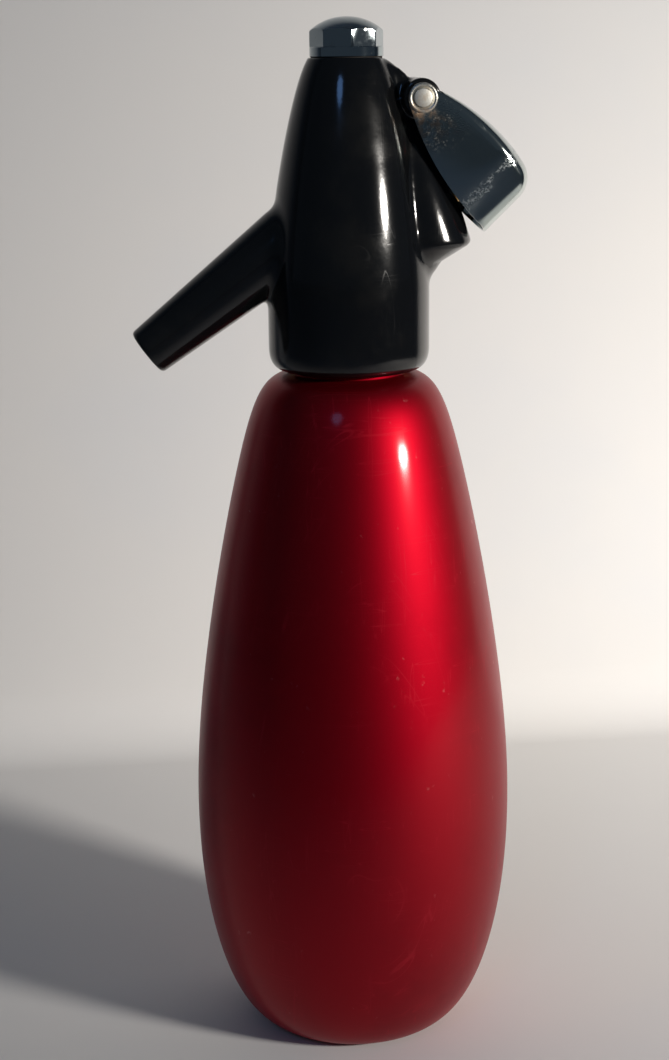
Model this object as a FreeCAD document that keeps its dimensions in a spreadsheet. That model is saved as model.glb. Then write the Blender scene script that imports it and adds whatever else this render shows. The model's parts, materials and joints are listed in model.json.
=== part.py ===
import FreeCAD, Part
import math
import os
import re

import Sketcher

# Soda siphon: an aluminium bottle, a moulded head with a spout on one side and a
# lever valve on the other, and a gas charger under the chromed cap on top.
#
# Frame: millimetres, +Z up, origin at the centre of the base on the floor.
# The spout points to -X and the lever to +X. The bottle's axis is the Z axis.

os.makedirs("parts", exist_ok=True)
doc = FreeCAD.newDocument("soda_siphon")

# ---------------------------------------------------------------- driving sizes

SIZES = {
    # Bottle: poles of the wall's outline, from the foot up to the neck.
    "foot_radius": 30.0,
    "foot_height": 0.6,
    "heel_pole_radius": 38.0,
    "lower_pole_radius": 52.0,
    "lower_pole_height": 21.0,
    "belly_pole_radius": 60.2,
    "belly_pole_height": 100.0,
    "shoulder_pole_radius": 36.0,
    "shoulder_pole_drop": 12.2,
    "collar_pole_radius": 29.0,
    "collar_pole_drop": 0.7,
    "neck_radius": 19.5,
    "neck_foot_height": 238.2,
    "neck_length": 23.8,
    "neck_wall": 3.0,
    "bottle_wall": 1.2,
    # Base: the pad sits in a recess under the bottle's domed bottom.
    "pad_radius": 28.3,
    "pad_thickness": 3.6,
    "pad_groove_radius": 20.0,
    "pad_groove_width": 3.0,
    "pad_groove_depth": 1.0,
    "base_wall": 1.5,
    "base_dome_rise": 3.4,
    "base_dome_outer_pole": 18.0,
    "base_dome_inner_pole": 12.0,
    # Head: cone above a straight collar, both round the bottle's axis.
    "cone_top_radius": 12.9,
    "cone_upper_pole_radius": 18.9,
    "cone_upper_pole_drop": 10.6,
    "cone_lower_pole_rise": 20.5,
    "collar_length": 25.2,
    "collar_radius": 27.2,
    "collar_rounding_rise": 6.2,
    "rim_radius": 23.0,
    "rim_gap": 1.6,
    "rim_rounding": 6.5,
    # Spout: a slanted cone with its axis in the XZ plane.
    "spout_slope": 36.8,
    "spout_reach": 68.2,
    "spout_tip_rise": 6.7,
    "spout_tip_radius": 8.3,
    "spout_root_radius": 12.6,
    "spout_length": 70.0,
    "spout_root_fillet": 1.6,
    "spout_lip_fillet": 1.2,
    "outlet_radius": 4.5,
    "outlet_depth": 16.0,
    "spout_passage_radius": 3.2,
    "spout_passage_inset": 1.0,
    # Lever bracket: a web from the cone to the knuckle that holds the pin.
    "pivot_stand_off": 10.4,
    "pivot_drop": 12.8,
    "knuckle_radius": 6.2,
    "knuckle_width": 22.0,
    "web_width": 12.0,
    "web_top_drop": 1.0,
    "web_top_overhang": 0.4,
    "web_corner_offset": -2.48,
    "web_corner_rise": 5.704,
    "web_foot_offset": -1.0,
    # Valve housing: round sections, from the knuckle down to its lower lip.
    "housing_top_drop": -1.2,
    "housing_top_offset": -5.3,
    "housing_top_radius": 4.5,
    "housing_upper_drop": 15.8,
    "housing_upper_offset": -3.4,
    "housing_upper_radius": 9.5,
    "housing_waist_drop": 23.8,
    "housing_waist_offset": -2.2,
    "housing_waist_radius": 12.0,
    "housing_middle_drop": 31.8,
    "housing_middle_offset": -1.1,
    "housing_middle_radius": 13.9,
    "housing_lower_drop": 39.8,
    "housing_lower_offset": 0.6,
    "housing_lower_radius": 15.0,
    "housing_lip_drop": 47.2,
    "housing_lip_offset": 2.6,
    "housing_lip_radius": 15.6,
    "housing_under_drop": 53.8,
    "housing_under_offset": -3.3,
    "housing_under_radius": 11.5,
    "housing_foot_drop": 60.3,
    "housing_foot_offset": -5.8,
    "housing_foot_radius": 9.7,
    # Neck ring and gasket inside the head.
    "neck_ring_radius": 22.0,
    "neck_ring_inset": 1.2,
    "gasket_thickness": 2.0,
    # Charger chamber, a sleeve down the middle of the head.
    "sleeve_radius": 11.7,
    "sleeve_bore_radius": 9.85,
    "roof_thickness": 7.0,
    "sleeve_thread_radius": 10.8,
    "sleeve_thread_depth": 7.4,
    "gallery_radius": 13.6,
    "gallery_rise": 13.0,
    "gallery_length": 21.0,
    # Cap over the chamber.
    "cap_radius": 12.1,
    "cap_seat_gap": 0.2,
    "cap_band_height": 3.2,
    "cap_side_height": 8.2,
    "cap_dome_rise": 4.5,
    "cap_skirt_gap": 0.4,
    "cap_bore_radius": 9.7,
    "cap_bore_depth": 3.4,
    "cap_roof_radius": 6.0,
    "cap_roof_depth": 9.2,
    "cap_roof_slope_drop": 0.6,
    "cap_washer_thickness": 0.8,
    # Gas charger, neck down, and the needle that pierces it.
    "charger_radius": 9.3,
    "charger_length": 65.5,
    "charger_neck_radius": 3.7,
    "charger_neck_length": 7.0,
    "charger_shoulder_length": 7.5,
    "charger_shoulder_rounding": 6.8,
    "charger_mouth_radius": 1.3,
    "charger_mouth_depth": 4.0,
    "charger_tip_rise": 13.5,
    "charger_stand_out": 8.4,
    "piercer_socket_depth": 6.5,
    "piercer_socket_radius": 4.1,
    "seal_thickness": 2.3,
    "needle_radius": 0.9,
    "needle_bore_radius": 0.4,
    "needle_foot_rise": 3.0,
    "needle_stroke": 2.0,
    "needle_point_length": 1.2,
    "gas_hole_radius": 2.0,
    # Gas nozzle and its rubber non-return sleeve, under the head's roof.
    "nozzle_flange_radius": 5.5,
    "nozzle_flange_thickness": 3.5,
    "nozzle_shank_radius": 2.9,
    "nozzle_spigot_radius": 2.2,
    "nozzle_bore_radius": 0.8,
    "nozzle_spigot_length": 10.5,
    "check_sleeve_radius": 3.6,
    "check_sleeve_length": 9.8,
    # Siphon tube, beside the gas nozzle, down to the bottle's bottom.
    "tube_x": 11.6,
    "tube_radius": 3.2,
    "tube_bore_radius": 2.2,
    "tube_grip": 4.0,
    "tube_foot_gap": 3.0,
    "tube_socket_depth": 5.8,
    "tube_tip_radius": 4.0,
    "tube_tip_length": 12.0,
    "tube_tip_gap": 0.7,
    "tube_tip_slot_width": 2.4,
    "tube_tip_slot_height": 2.0,
    # Valve, on an axis that points out of the housing and up to the lever.
    "valve_offset": 11.5,
    "valve_drop": 28.8,
    "valve_slope": 22.0,
    "barrel_radius": 6.2,
    "barrel_length": 17.2,
    "barrel_way_length": 20.0,
    "barrel_thread_radius": 5.25,
    "gland_length": 4.4,
    "gland_head_flats": 10.4,
    "gland_head_thickness": 1.6,
    "stem_seal_thickness": 1.8,
    "outflow_bore_radius": 3.6,
    "seat_depth": 10.5,
    "seat_thickness": 0.8,
    "seat_bore_radius": 2.7,
    "inflow_bore_radius": 4.5,
    "stem_radius": 2.0,
    "stem_reach": 20.9,
    "stem_tail_radius": 1.4,
    "valve_washer_radius": 4.0,
    "valve_washer_thickness": 1.8,
    "washer_nut_radius": 3.0,
    "washer_nut_thickness": 1.4,
    "button_radius": 4.4,
    "button_foot": 9.0,
    "button_shoulder": 20.3,
    "button_top": 22.9,
    "spring_radius": 3.3,
    "spring_wire_radius": 0.35,
    "spring_pitch": 1.6,
    "channel_radius": 1.8,
    "inlet_overlap": 1.8,
    "outlet_port_depth": 8.4,
    "outlet_port_radius": 1.4,
    "outlet_riser_length": 7.3,
    "outlet_link_length": 13.0,
    # Lever: a drawn sheet shell; its sides are flat and its back and end bow out.
    "lever_width": 25.0,
    "lever_wall": 1.0,
    "ear_radius": 4.8,
    "ear_start_angle": 192.0,
    "ear_end_angle": 42.0,
    "side_back_radius": 71.0,
    "side_shoulder_offset": 33.0,
    "side_shoulder_drop": 23.6,
    "side_corner_radius": 5.5,
    "side_heel_offset": 32.0,
    "side_heel_drop": 30.5,
    "side_toe_offset": 19.9,
    "side_toe_drop": 41.4,
    "side_front_radius": 90.0,
    "middle_back_radius": 65.0,
    "middle_shoulder_offset": 35.7,
    "middle_shoulder_drop": 21.9,
    "middle_corner_radius": 9.3,
    "middle_heel_offset": 34.1,
    "middle_heel_drop": 33.5,
    "middle_toe_offset": 22.8,
    "middle_toe_drop": 44.5,
    "lever_knuckle_gap": 0.8,
    "lever_open_margin": 6.0,
    "back_normal_x": 0.854,
    "back_normal_z": 0.52,
    "end_normal_x": 0.682,
    "end_normal_z": -0.731,
    "ear_collar_height": 0.6,
    "ear_countersink_radius": 4.0,
    "pin_radius": 3.0,
    "pin_length": 26.8,
    "pin_chamfer": 0.4,
    # Clearances: round faces that slide or turn, and round faces that are fixed.
    "running_clearance": 0.06,
    "fixed_clearance": 0.05,
    # How far a cut runs on past the face that it opens.
    "cut_overrun": 1.0,
}

CAP_FLATS = 8
NUT_FLATS = 6
FACE_TOLERANCE = 0.01

sheet = doc.addObject("Spreadsheet::Sheet", "Dims")
for row, (alias, size) in enumerate(SIZES.items(), start=1):
    sheet.set(f"A{row}", alias.replace("_", " "))
    sheet.set(f"B{row}", str(size))
    sheet.setAlias(f"B{row}", alias)
doc.recompute()

# Places worked out from the sizes: each piece's height comes from what carries it.
PLACES = {
    "shoulder_pole_height": "neck_foot_height - shoulder_pole_drop",
    "collar_pole_height": "neck_foot_height - collar_pole_drop",
    "neck_top_height": "neck_foot_height + neck_length",
    "neck_bore_radius": "neck_radius - neck_wall",
    "rim_height": "neck_foot_height + rim_gap",
    "neck_ring_foot_height": "rim_height + neck_ring_inset",
    "roof_height": "neck_top_height + gasket_thickness",
    "collar_rounding_height": "rim_height + collar_rounding_rise",
    "cone_foot_height": "rim_height + collar_length",
    "sleeve_foot_height": "roof_height + roof_thickness",
    "charger_tip_height": "sleeve_foot_height + charger_tip_rise",
    "charger_top_height": "charger_tip_height + charger_length",
    "head_top_height": "charger_top_height - charger_stand_out",
    "cone_upper_pole_height": "head_top_height - cone_upper_pole_drop",
    "cone_lower_pole_height": "cone_foot_height + cone_lower_pole_rise",
    "spout_tip_x": "-spout_reach",
    "spout_tip_height": "rim_height + spout_tip_rise",
    "pivot_x": "cone_top_radius + pivot_stand_off",
    "pivot_height": "head_top_height - pivot_drop",
    "web_top_height": "head_top_height - web_top_drop",
    "gallery_foot_height": "sleeve_foot_height + gallery_rise",
    "gallery_top_height": "gallery_foot_height + gallery_length",
    "cap_seat_height": "head_top_height + cap_seat_gap",
    "cap_flats_height": "cap_seat_height + cap_band_height",
    "cap_shoulder_height": "cap_seat_height + cap_side_height",
    "cap_top_height": "cap_shoulder_height + cap_dome_rise",
    "cap_bore_height": "cap_seat_height + cap_bore_depth",
    "cap_roof_height": "cap_seat_height + cap_roof_depth",
    "sleeve_top_height": "cap_seat_height - cap_washer_thickness",
    "sleeve_thread_foot_height": "sleeve_top_height - sleeve_thread_depth",
    "seal_foot_height": "charger_tip_height - seal_thickness",
    "piercer_top_height": "charger_tip_height + piercer_socket_depth",
    "needle_foot_height": "sleeve_foot_height + needle_foot_rise",
    "nozzle_flange_foot_height": "roof_height - nozzle_flange_thickness",
    "nozzle_foot_height": "nozzle_flange_foot_height - nozzle_spigot_length",
    "tube_top_height": "roof_height + tube_grip",
    "tube_socket_height": "roof_height + tube_socket_depth",
    "base_floor_height": "pad_thickness + base_dome_rise + base_wall",
    "tube_foot_height": "base_floor_height + tube_foot_gap",
    "tube_tip_foot_height": "base_floor_height + tube_tip_gap",
    "valve_x": "pivot_x + valve_offset",
    "valve_height": "pivot_height - valve_drop",
    "seal_depth": "gland_length + stem_seal_thickness",
    "washer_depth": "seat_depth + seat_thickness",
    "nut_depth": "washer_depth + valve_washer_thickness",
}


# ---------------------------------------------------------------- drawing tools

def bound(expression):
    """Return the expression with places written out and sizes pointing at cells."""
    def meaning(match):
        word = match.group(0)
        if word in PLACES:
            return f"({bound(PLACES[word])})"
        return "Dims." + word if word in SIZES else word
    return re.sub(r"[a-z_]+", meaning, str(expression))


def number(expression):
    """Return what an expression of the sheet's names is worth now."""
    result = sheet.evalExpression(bound(expression))
    return float(getattr(result, "Value", result))


def bind(target, **settings):
    """Set properties from expressions; a double underscore stands for a dot."""
    for name, expression in settings.items():
        target.setExpression(name.replace("__", "."), bound(expression))


def line_to(x, y):
    return ("line", (x, y), None)


def arc_to(x, y, radius, turn):
    """A short arc to a point: turn is 1 anticlockwise and -1 clockwise."""
    return ("arc", (x, y), (radius, turn))


def dome_to(y, width, rise):
    """An arc up to the axis, round a centre on the axis, so the top is a sphere."""
    return arc_to("0", y, f"(({width}) ^ 2 + {rise} ^ 2) / (2 * {rise})", 1)


def spline_to(x, y, poles):
    return ("spline", (x, y), poles)


def point(pair):
    return FreeCAD.Vector(number(pair[0]), number(pair[1]), 0)


def pin_point(sketch, geometry, position, pair):
    """Hold a sketch point at a pair of expressions, measured from the origin."""
    kinds = ("DistanceX", "DistanceY")
    for kind, expression in zip(kinds, pair):
        constraint = Sketcher.Constraint(kind, -1, 1, geometry, position, number(expression))
        index = sketch.addConstraint(constraint)
        sketch.setExpression(f"Constraints[{index}]", bound(expression))


def add_arc(sketch, first, last, radius, turn):
    """Add an arc and return its index and which of its ends come first and last."""
    size = number(radius)
    chord = last - first
    rise = math.sqrt(max(size * size - chord.Length * chord.Length / 4, 0))
    left = FreeCAD.Vector(-chord.y, chord.x, 0).normalize()
    centre = (first + last) * 0.5 + left * (rise * turn)
    angles = [math.atan2(p.y - centre.y, p.x - centre.x) for p in (first, last)]
    start, end = angles if turn > 0 else reversed(angles)
    circle = Part.Circle(centre, FreeCAD.Vector(0, 0, 1), size)
    index = sketch.addGeometry(Part.ArcOfCircle(circle, start, end))
    constraint = sketch.addConstraint(Sketcher.Constraint("Radius", index, size))
    sketch.setExpression(f"Constraints[{constraint}]", bound(radius))
    return (index, 1, 2) if turn > 0 else (index, 2, 1)


def add_spline(sketch, pairs):
    """Add a cubic spline by its poles, with the inner poles held by expressions."""
    poles = [point(pair) for pair in pairs]
    curve = Part.BSplineCurve(poles, None, None, False, 3, None, False)
    index = sketch.addGeometry(curve)
    handles = []
    for pole in poles:
        handle = sketch.addGeometry(Part.Circle(pole, FreeCAD.Vector(0, 0, 1), 1.0), True)
        if handles:
            sketch.addConstraint(Sketcher.Constraint("Equal", handles[0], handle))
        else:
            sketch.addConstraint(Sketcher.Constraint("Weight", handle, 1.0))
        handles.append(handle)
    alignment = "InternalAlignment:Sketcher::BSplineControlPoint"
    for order, handle in enumerate(handles):
        sketch.addConstraint(Sketcher.Constraint(alignment, handle, 3, index, order))
    for handle, pair in list(zip(handles, pairs))[1:-1]:
        pin_point(sketch, handle, 3, pair)
    return index, 1, 2


def new_sketch(body, name, role="XZ_Plane", offset="0"):
    """Make a sketch on one of the body's own planes, moved along its normal."""
    sketch = body.newObject("Sketcher::SketchObject", name)
    plane = next(f for f in body.Origin.OriginFeatures if f.Role == role)
    sketch.AttachmentSupport = [(plane, "")]
    sketch.MapMode = "FlatFace"
    bind(sketch, AttachmentOffset__Base__z=offset)
    return sketch


def outline(body, name, start, steps, role="XZ_Plane", offset="0"):
    """Draw a closed outline; its last step leads back to the start by a line."""
    sketch = new_sketch(body, name, role, offset)
    if steps[-1][1] != start:
        steps = steps + [line_to(*start)]
    segments = []
    previous = start
    for kind, pair, detail in steps:
        first, last = point(previous), point(pair)
        if kind == "line":
            segment = (sketch.addGeometry(Part.LineSegment(first, last)), 1, 2)
        elif kind == "spline":
            segment = add_spline(sketch, [previous] + detail + [pair])
        else:
            segment = add_arc(sketch, first, last, *detail)
        segments.append((segment, previous))
        previous = pair
    for order, ((geometry, first_end, _), pair) in enumerate(segments):
        before = segments[order - 1][0]
        joint = Sketcher.Constraint("Coincident", before[0], before[2], geometry, first_end)
        sketch.addConstraint(joint)
        pin_point(sketch, geometry, first_end, pair)
    return sketch


def circle(body, name, x, y, radius, role="XY_Plane", offset="0"):
    sketch = new_sketch(body, name, role, offset)
    shape = Part.Circle(point((x, y)), FreeCAD.Vector(0, 0, 1), number(radius))
    index = sketch.addGeometry(shape)
    pin_point(sketch, index, 3, (x, y))
    constraint = sketch.addConstraint(Sketcher.Constraint("Radius", index, number(radius)))
    sketch.setExpression(f"Constraints[{constraint}]", bound(radius))
    return sketch


def polygon(sketch, sides, radius, first_angle):
    """Add a regular polygon round the sketch's origin, held by its corners."""
    corners = []
    for corner in range(sides):
        angle = f"({first_angle + corner * 360 / sides} deg)"
        corners.append((f"{radius} * cos{angle}", f"{radius} * sin{angle}"))
    edges = []
    for corner in range(sides):
        ends = (point(corners[corner]), point(corners[(corner + 1) % sides]))
        edges.append(sketch.addGeometry(Part.LineSegment(*ends)))
    for corner, edge in enumerate(edges):
        sketch.addConstraint(Sketcher.Constraint("Coincident", edges[corner - 1], 2, edge, 1))
        pin_point(sketch, edge, 1, corners[corner])


def new_body(label):
    body = doc.addObject("PartDesign::Body", label)
    body.Label = label
    return body


def revolve(body, name, sketch, feature="Revolution"):
    turned = body.newObject("PartDesign::" + feature, name)
    turned.Profile = sketch
    turned.ReferenceAxis = (sketch, ["V_Axis"])
    turned.Angle = 360
    doc.recompute()
    return turned


def turned_body(label, start, steps):
    """A piece turned about its own Z axis from one closed outline."""
    body = new_body(label)
    revolve(body, label + "_turning", outline(body, label + "_outline", start, steps))
    return body


def slant(x, height, angle):
    """Placement that tips a piece's own +Z by an angle about Y, towards +X."""
    return dict(Placement__Base__x=x, Placement__Base__z=height,
                Placement__Rotation__Angle=f"({angle}) * 1 deg")


def lay(target, x="0", height="0", angle=None):
    """Place a piece or a primitive in the XZ plane, tipped about Y."""
    if angle is None:
        bind(target, Placement__Base__x=x, Placement__Base__z=height)
    else:
        turn = FreeCAD.Rotation(FreeCAD.Vector(0, 1, 0), 1)
        target.Placement = FreeCAD.Placement(FreeCAD.Vector(), turn)
        bind(target, **slant(x, height, angle))
    doc.recompute()


def bore(body, name, radius, length, x="0", height="0", angle=None):
    """Cut a round hole that starts at a point and runs along a tipped +Z."""
    cut = body.newObject("PartDesign::SubtractiveCylinder", name)
    bind(cut, Radius=radius, Height=length)
    lay(cut, x, height, angle)
    return cut


def across(target, x, height, width):
    """Turn a cylinder to lie along Y, centred on the XZ plane."""
    turn = FreeCAD.Rotation(FreeCAD.Vector(1, 0, 0), 90)
    target.Placement = FreeCAD.Placement(FreeCAD.Vector(), turn)
    bind(target, Placement__Base__x=x, Placement__Base__z=height,
         Placement__Base__y=f"{width} / 2")
    doc.recompute()


def edges_where(feature, test):
    """Names of a feature's edges that pass a test."""
    edges = enumerate(feature.Shape.Edges, start=1)
    return [f"Edge{number_}" for number_, edge in edges if test(edge)]


def fillet(body, name, base, radius, test):
    """Round the edges of the last feature that pass a test."""
    rounding = body.newObject("PartDesign::Fillet", name)
    rounding.Base = (base, edges_where(base, test))
    bind(rounding, Radius=radius)
    doc.recompute()
    return rounding


def loft_through(body, name, feature, sections, ruled=False):
    """Join sketches in their order, by a smooth skin or by straight lines."""
    loft = body.newObject("PartDesign::" + feature, name)
    loft.Profile = sections[0]
    loft.Sections = sections[1:]
    loft.Ruled = ruled
    doc.recompute()
    return loft


# ---------------------------------------------------------------- bottle

def make_bottle():
    """Drawn aluminium shell, its thick threaded neck and its domed base."""
    body = new_body("bottle")
    wall_outline = outline(body, "bottle_outline", ("0", "foot_height"), [
        line_to("foot_radius", "foot_height"),
        spline_to("neck_radius", "neck_foot_height", [
            ("heel_pole_radius", "foot_height"),
            ("lower_pole_radius", "lower_pole_height"),
            ("belly_pole_radius", "belly_pole_height"),
            ("shoulder_pole_radius", "shoulder_pole_height"),
            ("collar_pole_radius", "collar_pole_height"),
        ]),
        line_to("neck_radius", "neck_top_height"),
        line_to("0", "neck_top_height"),
    ])
    solid = revolve(body, "bottle_turning", wall_outline)
    mouth = [f"Face{index}" for index, face in enumerate(solid.Shape.Faces, start=1)
             if face.CenterOfMass.z > number("neck_top_height") - FACE_TOLERANCE]
    shell = body.newObject("PartDesign::Thickness", "bottle_shell")
    shell.Base = (solid, mouth)
    shell.Reversed = True
    bind(shell, Value="bottle_wall")
    doc.recompute()
    neck_start = ("neck_bore_radius", "neck_foot_height - neck_wall")
    mid_wall_radius = "neck_radius - bottle_wall / 2"
    neck_outline = outline(body, "neck_outline", neck_start, [
        line_to(mid_wall_radius, "neck_foot_height - bottle_wall / 2"),
        line_to(mid_wall_radius, "neck_top_height"),
        line_to("neck_bore_radius", "neck_top_height"),
    ])
    revolve(body, "neck_wall", neck_outline)
    dome_outline = outline(body, "base_outline", ("0", "foot_height"), [
        line_to("foot_radius", "foot_height"),
        line_to("foot_radius", "pad_thickness + base_wall"),
        spline_to("0", "pad_thickness + base_dome_rise + base_wall", [
            ("base_dome_outer_pole", "pad_thickness + base_wall"),
            ("base_dome_inner_pole", "pad_thickness + base_dome_rise + base_wall"),
        ]),
    ])
    revolve(body, "base_dome", dome_outline)
    recess_outline = outline(body, "recess_outline", ("0", "foot_height - cut_overrun"), [
        line_to("pad_radius + fixed_clearance", "foot_height - cut_overrun"),
        line_to("pad_radius + fixed_clearance", "pad_thickness"),
        spline_to("0", "pad_thickness + base_dome_rise", [
            ("base_dome_outer_pole", "pad_thickness"),
            ("base_dome_inner_pole", "pad_thickness + base_dome_rise"),
        ]),
    ])
    revolve(body, "base_recess", recess_outline, "Groove")
    return body


def make_base_pad():
    """Rubber disc that the siphon stands on, with one round groove below."""
    return turned_body("base_pad", ("0", "0"), [
        line_to("pad_groove_radius - pad_groove_width / 2", "0"),
        line_to("pad_groove_radius - pad_groove_width / 2", "pad_groove_depth"),
        line_to("pad_groove_radius + pad_groove_width / 2", "pad_groove_depth"),
        line_to("pad_groove_radius + pad_groove_width / 2", "0"),
        line_to("pad_radius", "0"),
        line_to("pad_radius", "pad_thickness"),
        line_to("0", "pad_thickness"),
    ])


# ---------------------------------------------------------------- head

def add_housing(body):
    """Web, knuckle and valve housing on the lever's side of the cone."""
    web = outline(body, "web_outline", ("0", "web_top_height"), [
        line_to("cone_top_radius + web_top_overhang", "web_top_height"),
        line_to("pivot_x + web_corner_offset", "pivot_height + web_corner_rise"),
        line_to("pivot_x", "pivot_height"),
        line_to("pivot_x + web_foot_offset", "pivot_height - housing_upper_drop"),
        line_to("0", "pivot_height - housing_upper_drop"),
    ])
    pad = body.newObject("PartDesign::Pad", "web")
    pad.Profile = web
    pad.Midplane = True
    bind(pad, Length="web_width")
    doc.recompute()
    knuckle = body.newObject("PartDesign::AdditiveCylinder", "knuckle")
    bind(knuckle, Radius="knuckle_radius", Height="knuckle_width")
    across(knuckle, "pivot_x", "pivot_height", "knuckle_width")
    levels = ("top", "upper", "waist", "middle", "lower", "lip", "under", "foot")
    sections = [circle(body, "housing_" + level, f"pivot_x + housing_{level}_offset", "0",
                       f"housing_{level}_radius", offset=f"pivot_height - housing_{level}_drop")
                for level in levels]
    loft_through(body, "housing", "AdditiveLoft", sections, ruled=True)


def make_head_body():
    """Black moulding: cone, collar, spout and valve housing, with its bores."""
    body = new_body("head_body")
    head_outline = outline(body, "head_outline", ("0", "head_top_height"), [
        line_to("cone_top_radius", "head_top_height"),
        spline_to("collar_radius", "cone_foot_height", [
            ("cone_upper_pole_radius", "cone_upper_pole_height"),
            ("collar_radius", "cone_lower_pole_height"),
        ]),
        line_to("collar_radius", "collar_rounding_height"),
        arc_to("rim_radius", "rim_height", "rim_rounding", -1),
        line_to("0", "rim_height"),
    ])
    revolve(body, "head_turning", head_outline)
    spout = body.newObject("PartDesign::AdditiveCone", "spout")
    bind(spout, Radius1="spout_tip_radius", Radius2="spout_root_radius", Height="spout_length")
    lay(spout, "spout_tip_x", "spout_tip_height", "90 - spout_slope")
    root = fillet(body, "spout_root", spout, "spout_root_fillet", is_spout_root)
    fillet(body, "spout_lip", root, "spout_lip_fillet", is_spout_lip)
    add_housing(body)
    cut_neck_and_chamber(body)
    cut_channels(body)
    # Merging its faces would leave edges too loose for the later cuts.
    for feature in body.Group:
        if hasattr(feature, "Refine"):
            feature.Refine = False
    doc.recompute()
    return body


def is_spout_root(edge):
    """The curve where the spout runs out of the cone and the collar."""
    box = edge.BoundBox
    return box.XMax < -number("cone_top_radius") and box.YLength > number("spout_tip_radius") \
        and box.XMin > number("spout_tip_x / 2") and box.ZLength > number("spout_tip_radius")


def is_spout_lip(edge):
    """The circle round the spout's open end."""
    return edge.BoundBox.XMax < number("spout_tip_x + spout_tip_radius") \
        and edge.BoundBox.YLength > number("spout_tip_radius")


def cut_neck_and_chamber(body):
    """Room for the bottle's neck from below and for the charger from above."""
    bore(body, "neck_room", "neck_ring_radius + fixed_clearance",
         "roof_height - rim_height + cut_overrun", height="rim_height - cut_overrun")
    bore(body, "chamber_room", "sleeve_radius + fixed_clearance",
         "head_top_height - sleeve_foot_height + cut_overrun", height="sleeve_foot_height")
    bore(body, "nozzle_hole", "nozzle_shank_radius + fixed_clearance",
         "sleeve_foot_height - roof_height + 2 * cut_overrun", height="roof_height - cut_overrun")
    gallery = outline(body, "gallery_outline", ("sleeve_radius", "gallery_foot_height"), [
        line_to("gallery_radius", "gallery_foot_height"),
        line_to("gallery_radius", "gallery_top_height"),
        line_to("sleeve_radius", "gallery_top_height"),
    ])
    revolve(body, "gallery", gallery, "Groove")
    bore(body, "tube_socket", "tube_radius + fixed_clearance",
         "tube_socket_height - roof_height + cut_overrun", "tube_x", "roof_height - cut_overrun")
    hole = body.newObject("PartDesign::SubtractiveCylinder", "pin_hole")
    hole_length = "(knuckle_width + 2 * cut_overrun)"
    bind(hole, Radius="pin_radius + fixed_clearance", Height=hole_length)
    across(hole, "pivot_x", "pivot_height", hole_length)


def cut_channels(body):
    """The liquid's way: tube, valve, gallery round the chamber, spout."""
    slope_cos = "cos(valve_slope * 1 deg)"
    slope_sin = "sin(valve_slope * 1 deg)"
    bore(body, "barrel_hole", "barrel_radius + fixed_clearance", "barrel_length + barrel_way_length",
         f"valve_x + barrel_way_length * {slope_cos}",
         f"valve_height + barrel_way_length * {slope_sin}", "270 - valve_slope")
    inlet_run = f"(valve_x - barrel_length * {slope_cos} - tube_x)"
    inlet_rise = f"(valve_height - barrel_length * {slope_sin} - tube_socket_height + 2 * inlet_overlap)"
    bore(body, "inlet_channel", "channel_radius", f"sqrt({inlet_run} ^ 2 + {inlet_rise} ^ 2)",
         "tube_x + inlet_overlap", "tube_socket_height - 2 * inlet_overlap",
         f"atan({inlet_run} / {inlet_rise}) / 1 deg")
    port_x = f"valve_x - outlet_port_depth * {slope_cos}"
    port_height = f"valve_height - outlet_port_depth * {slope_sin}"
    bore(body, "outlet_riser", "outlet_port_radius", "outlet_riser_length",
         port_x, port_height, "-valve_slope")
    riser_x = f"{port_x} - outlet_riser_length * {slope_sin}"
    riser_height = f"{port_height} + outlet_riser_length * {slope_cos}"
    bore(body, "outlet_link", "outlet_port_radius", "outlet_link_length",
         f"{riser_x} + outlet_port_radius", f"{riser_height} - outlet_port_radius", "-90")
    bore(body, "spout_passage", "spout_passage_radius", "spout_length - spout_passage_inset",
         "spout_tip_x", "spout_tip_height", "90 - spout_slope")
    bore(body, "spout_outlet", "outlet_radius", "outlet_depth",
         "spout_tip_x", "spout_tip_height", "90 - spout_slope")


def make_neck_ring():
    """Brass ring in the head's collar that screws down over the bottle's neck."""
    return turned_body("neck_ring", ("neck_radius + running_clearance", "neck_ring_foot_height"), [
        line_to("neck_ring_radius", "neck_ring_foot_height"),
        line_to("neck_ring_radius", "neck_top_height"),
        line_to("neck_radius + running_clearance", "neck_top_height"),
    ])


def make_neck_gasket():
    """Rubber ring pressed between the bottle's mouth and the head."""
    return turned_body("neck_gasket", ("neck_bore_radius", "neck_top_height"), [
        line_to("neck_ring_radius", "neck_top_height"),
        line_to("neck_ring_radius", "roof_height"),
        line_to("neck_bore_radius", "roof_height"),
    ])


# ---------------------------------------------------------------- charger chamber

def make_charger_sleeve():
    """Brass chamber for the charger, threaded at the top for the cap."""
    return turned_body("charger_sleeve", ("sleeve_bore_radius", "sleeve_foot_height"), [
        line_to("sleeve_radius", "sleeve_foot_height"),
        line_to("sleeve_radius", "sleeve_top_height"),
        line_to("sleeve_thread_radius", "sleeve_top_height"),
        line_to("sleeve_thread_radius", "sleeve_thread_foot_height"),
        line_to("sleeve_bore_radius", "sleeve_thread_foot_height"),
    ])


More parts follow.
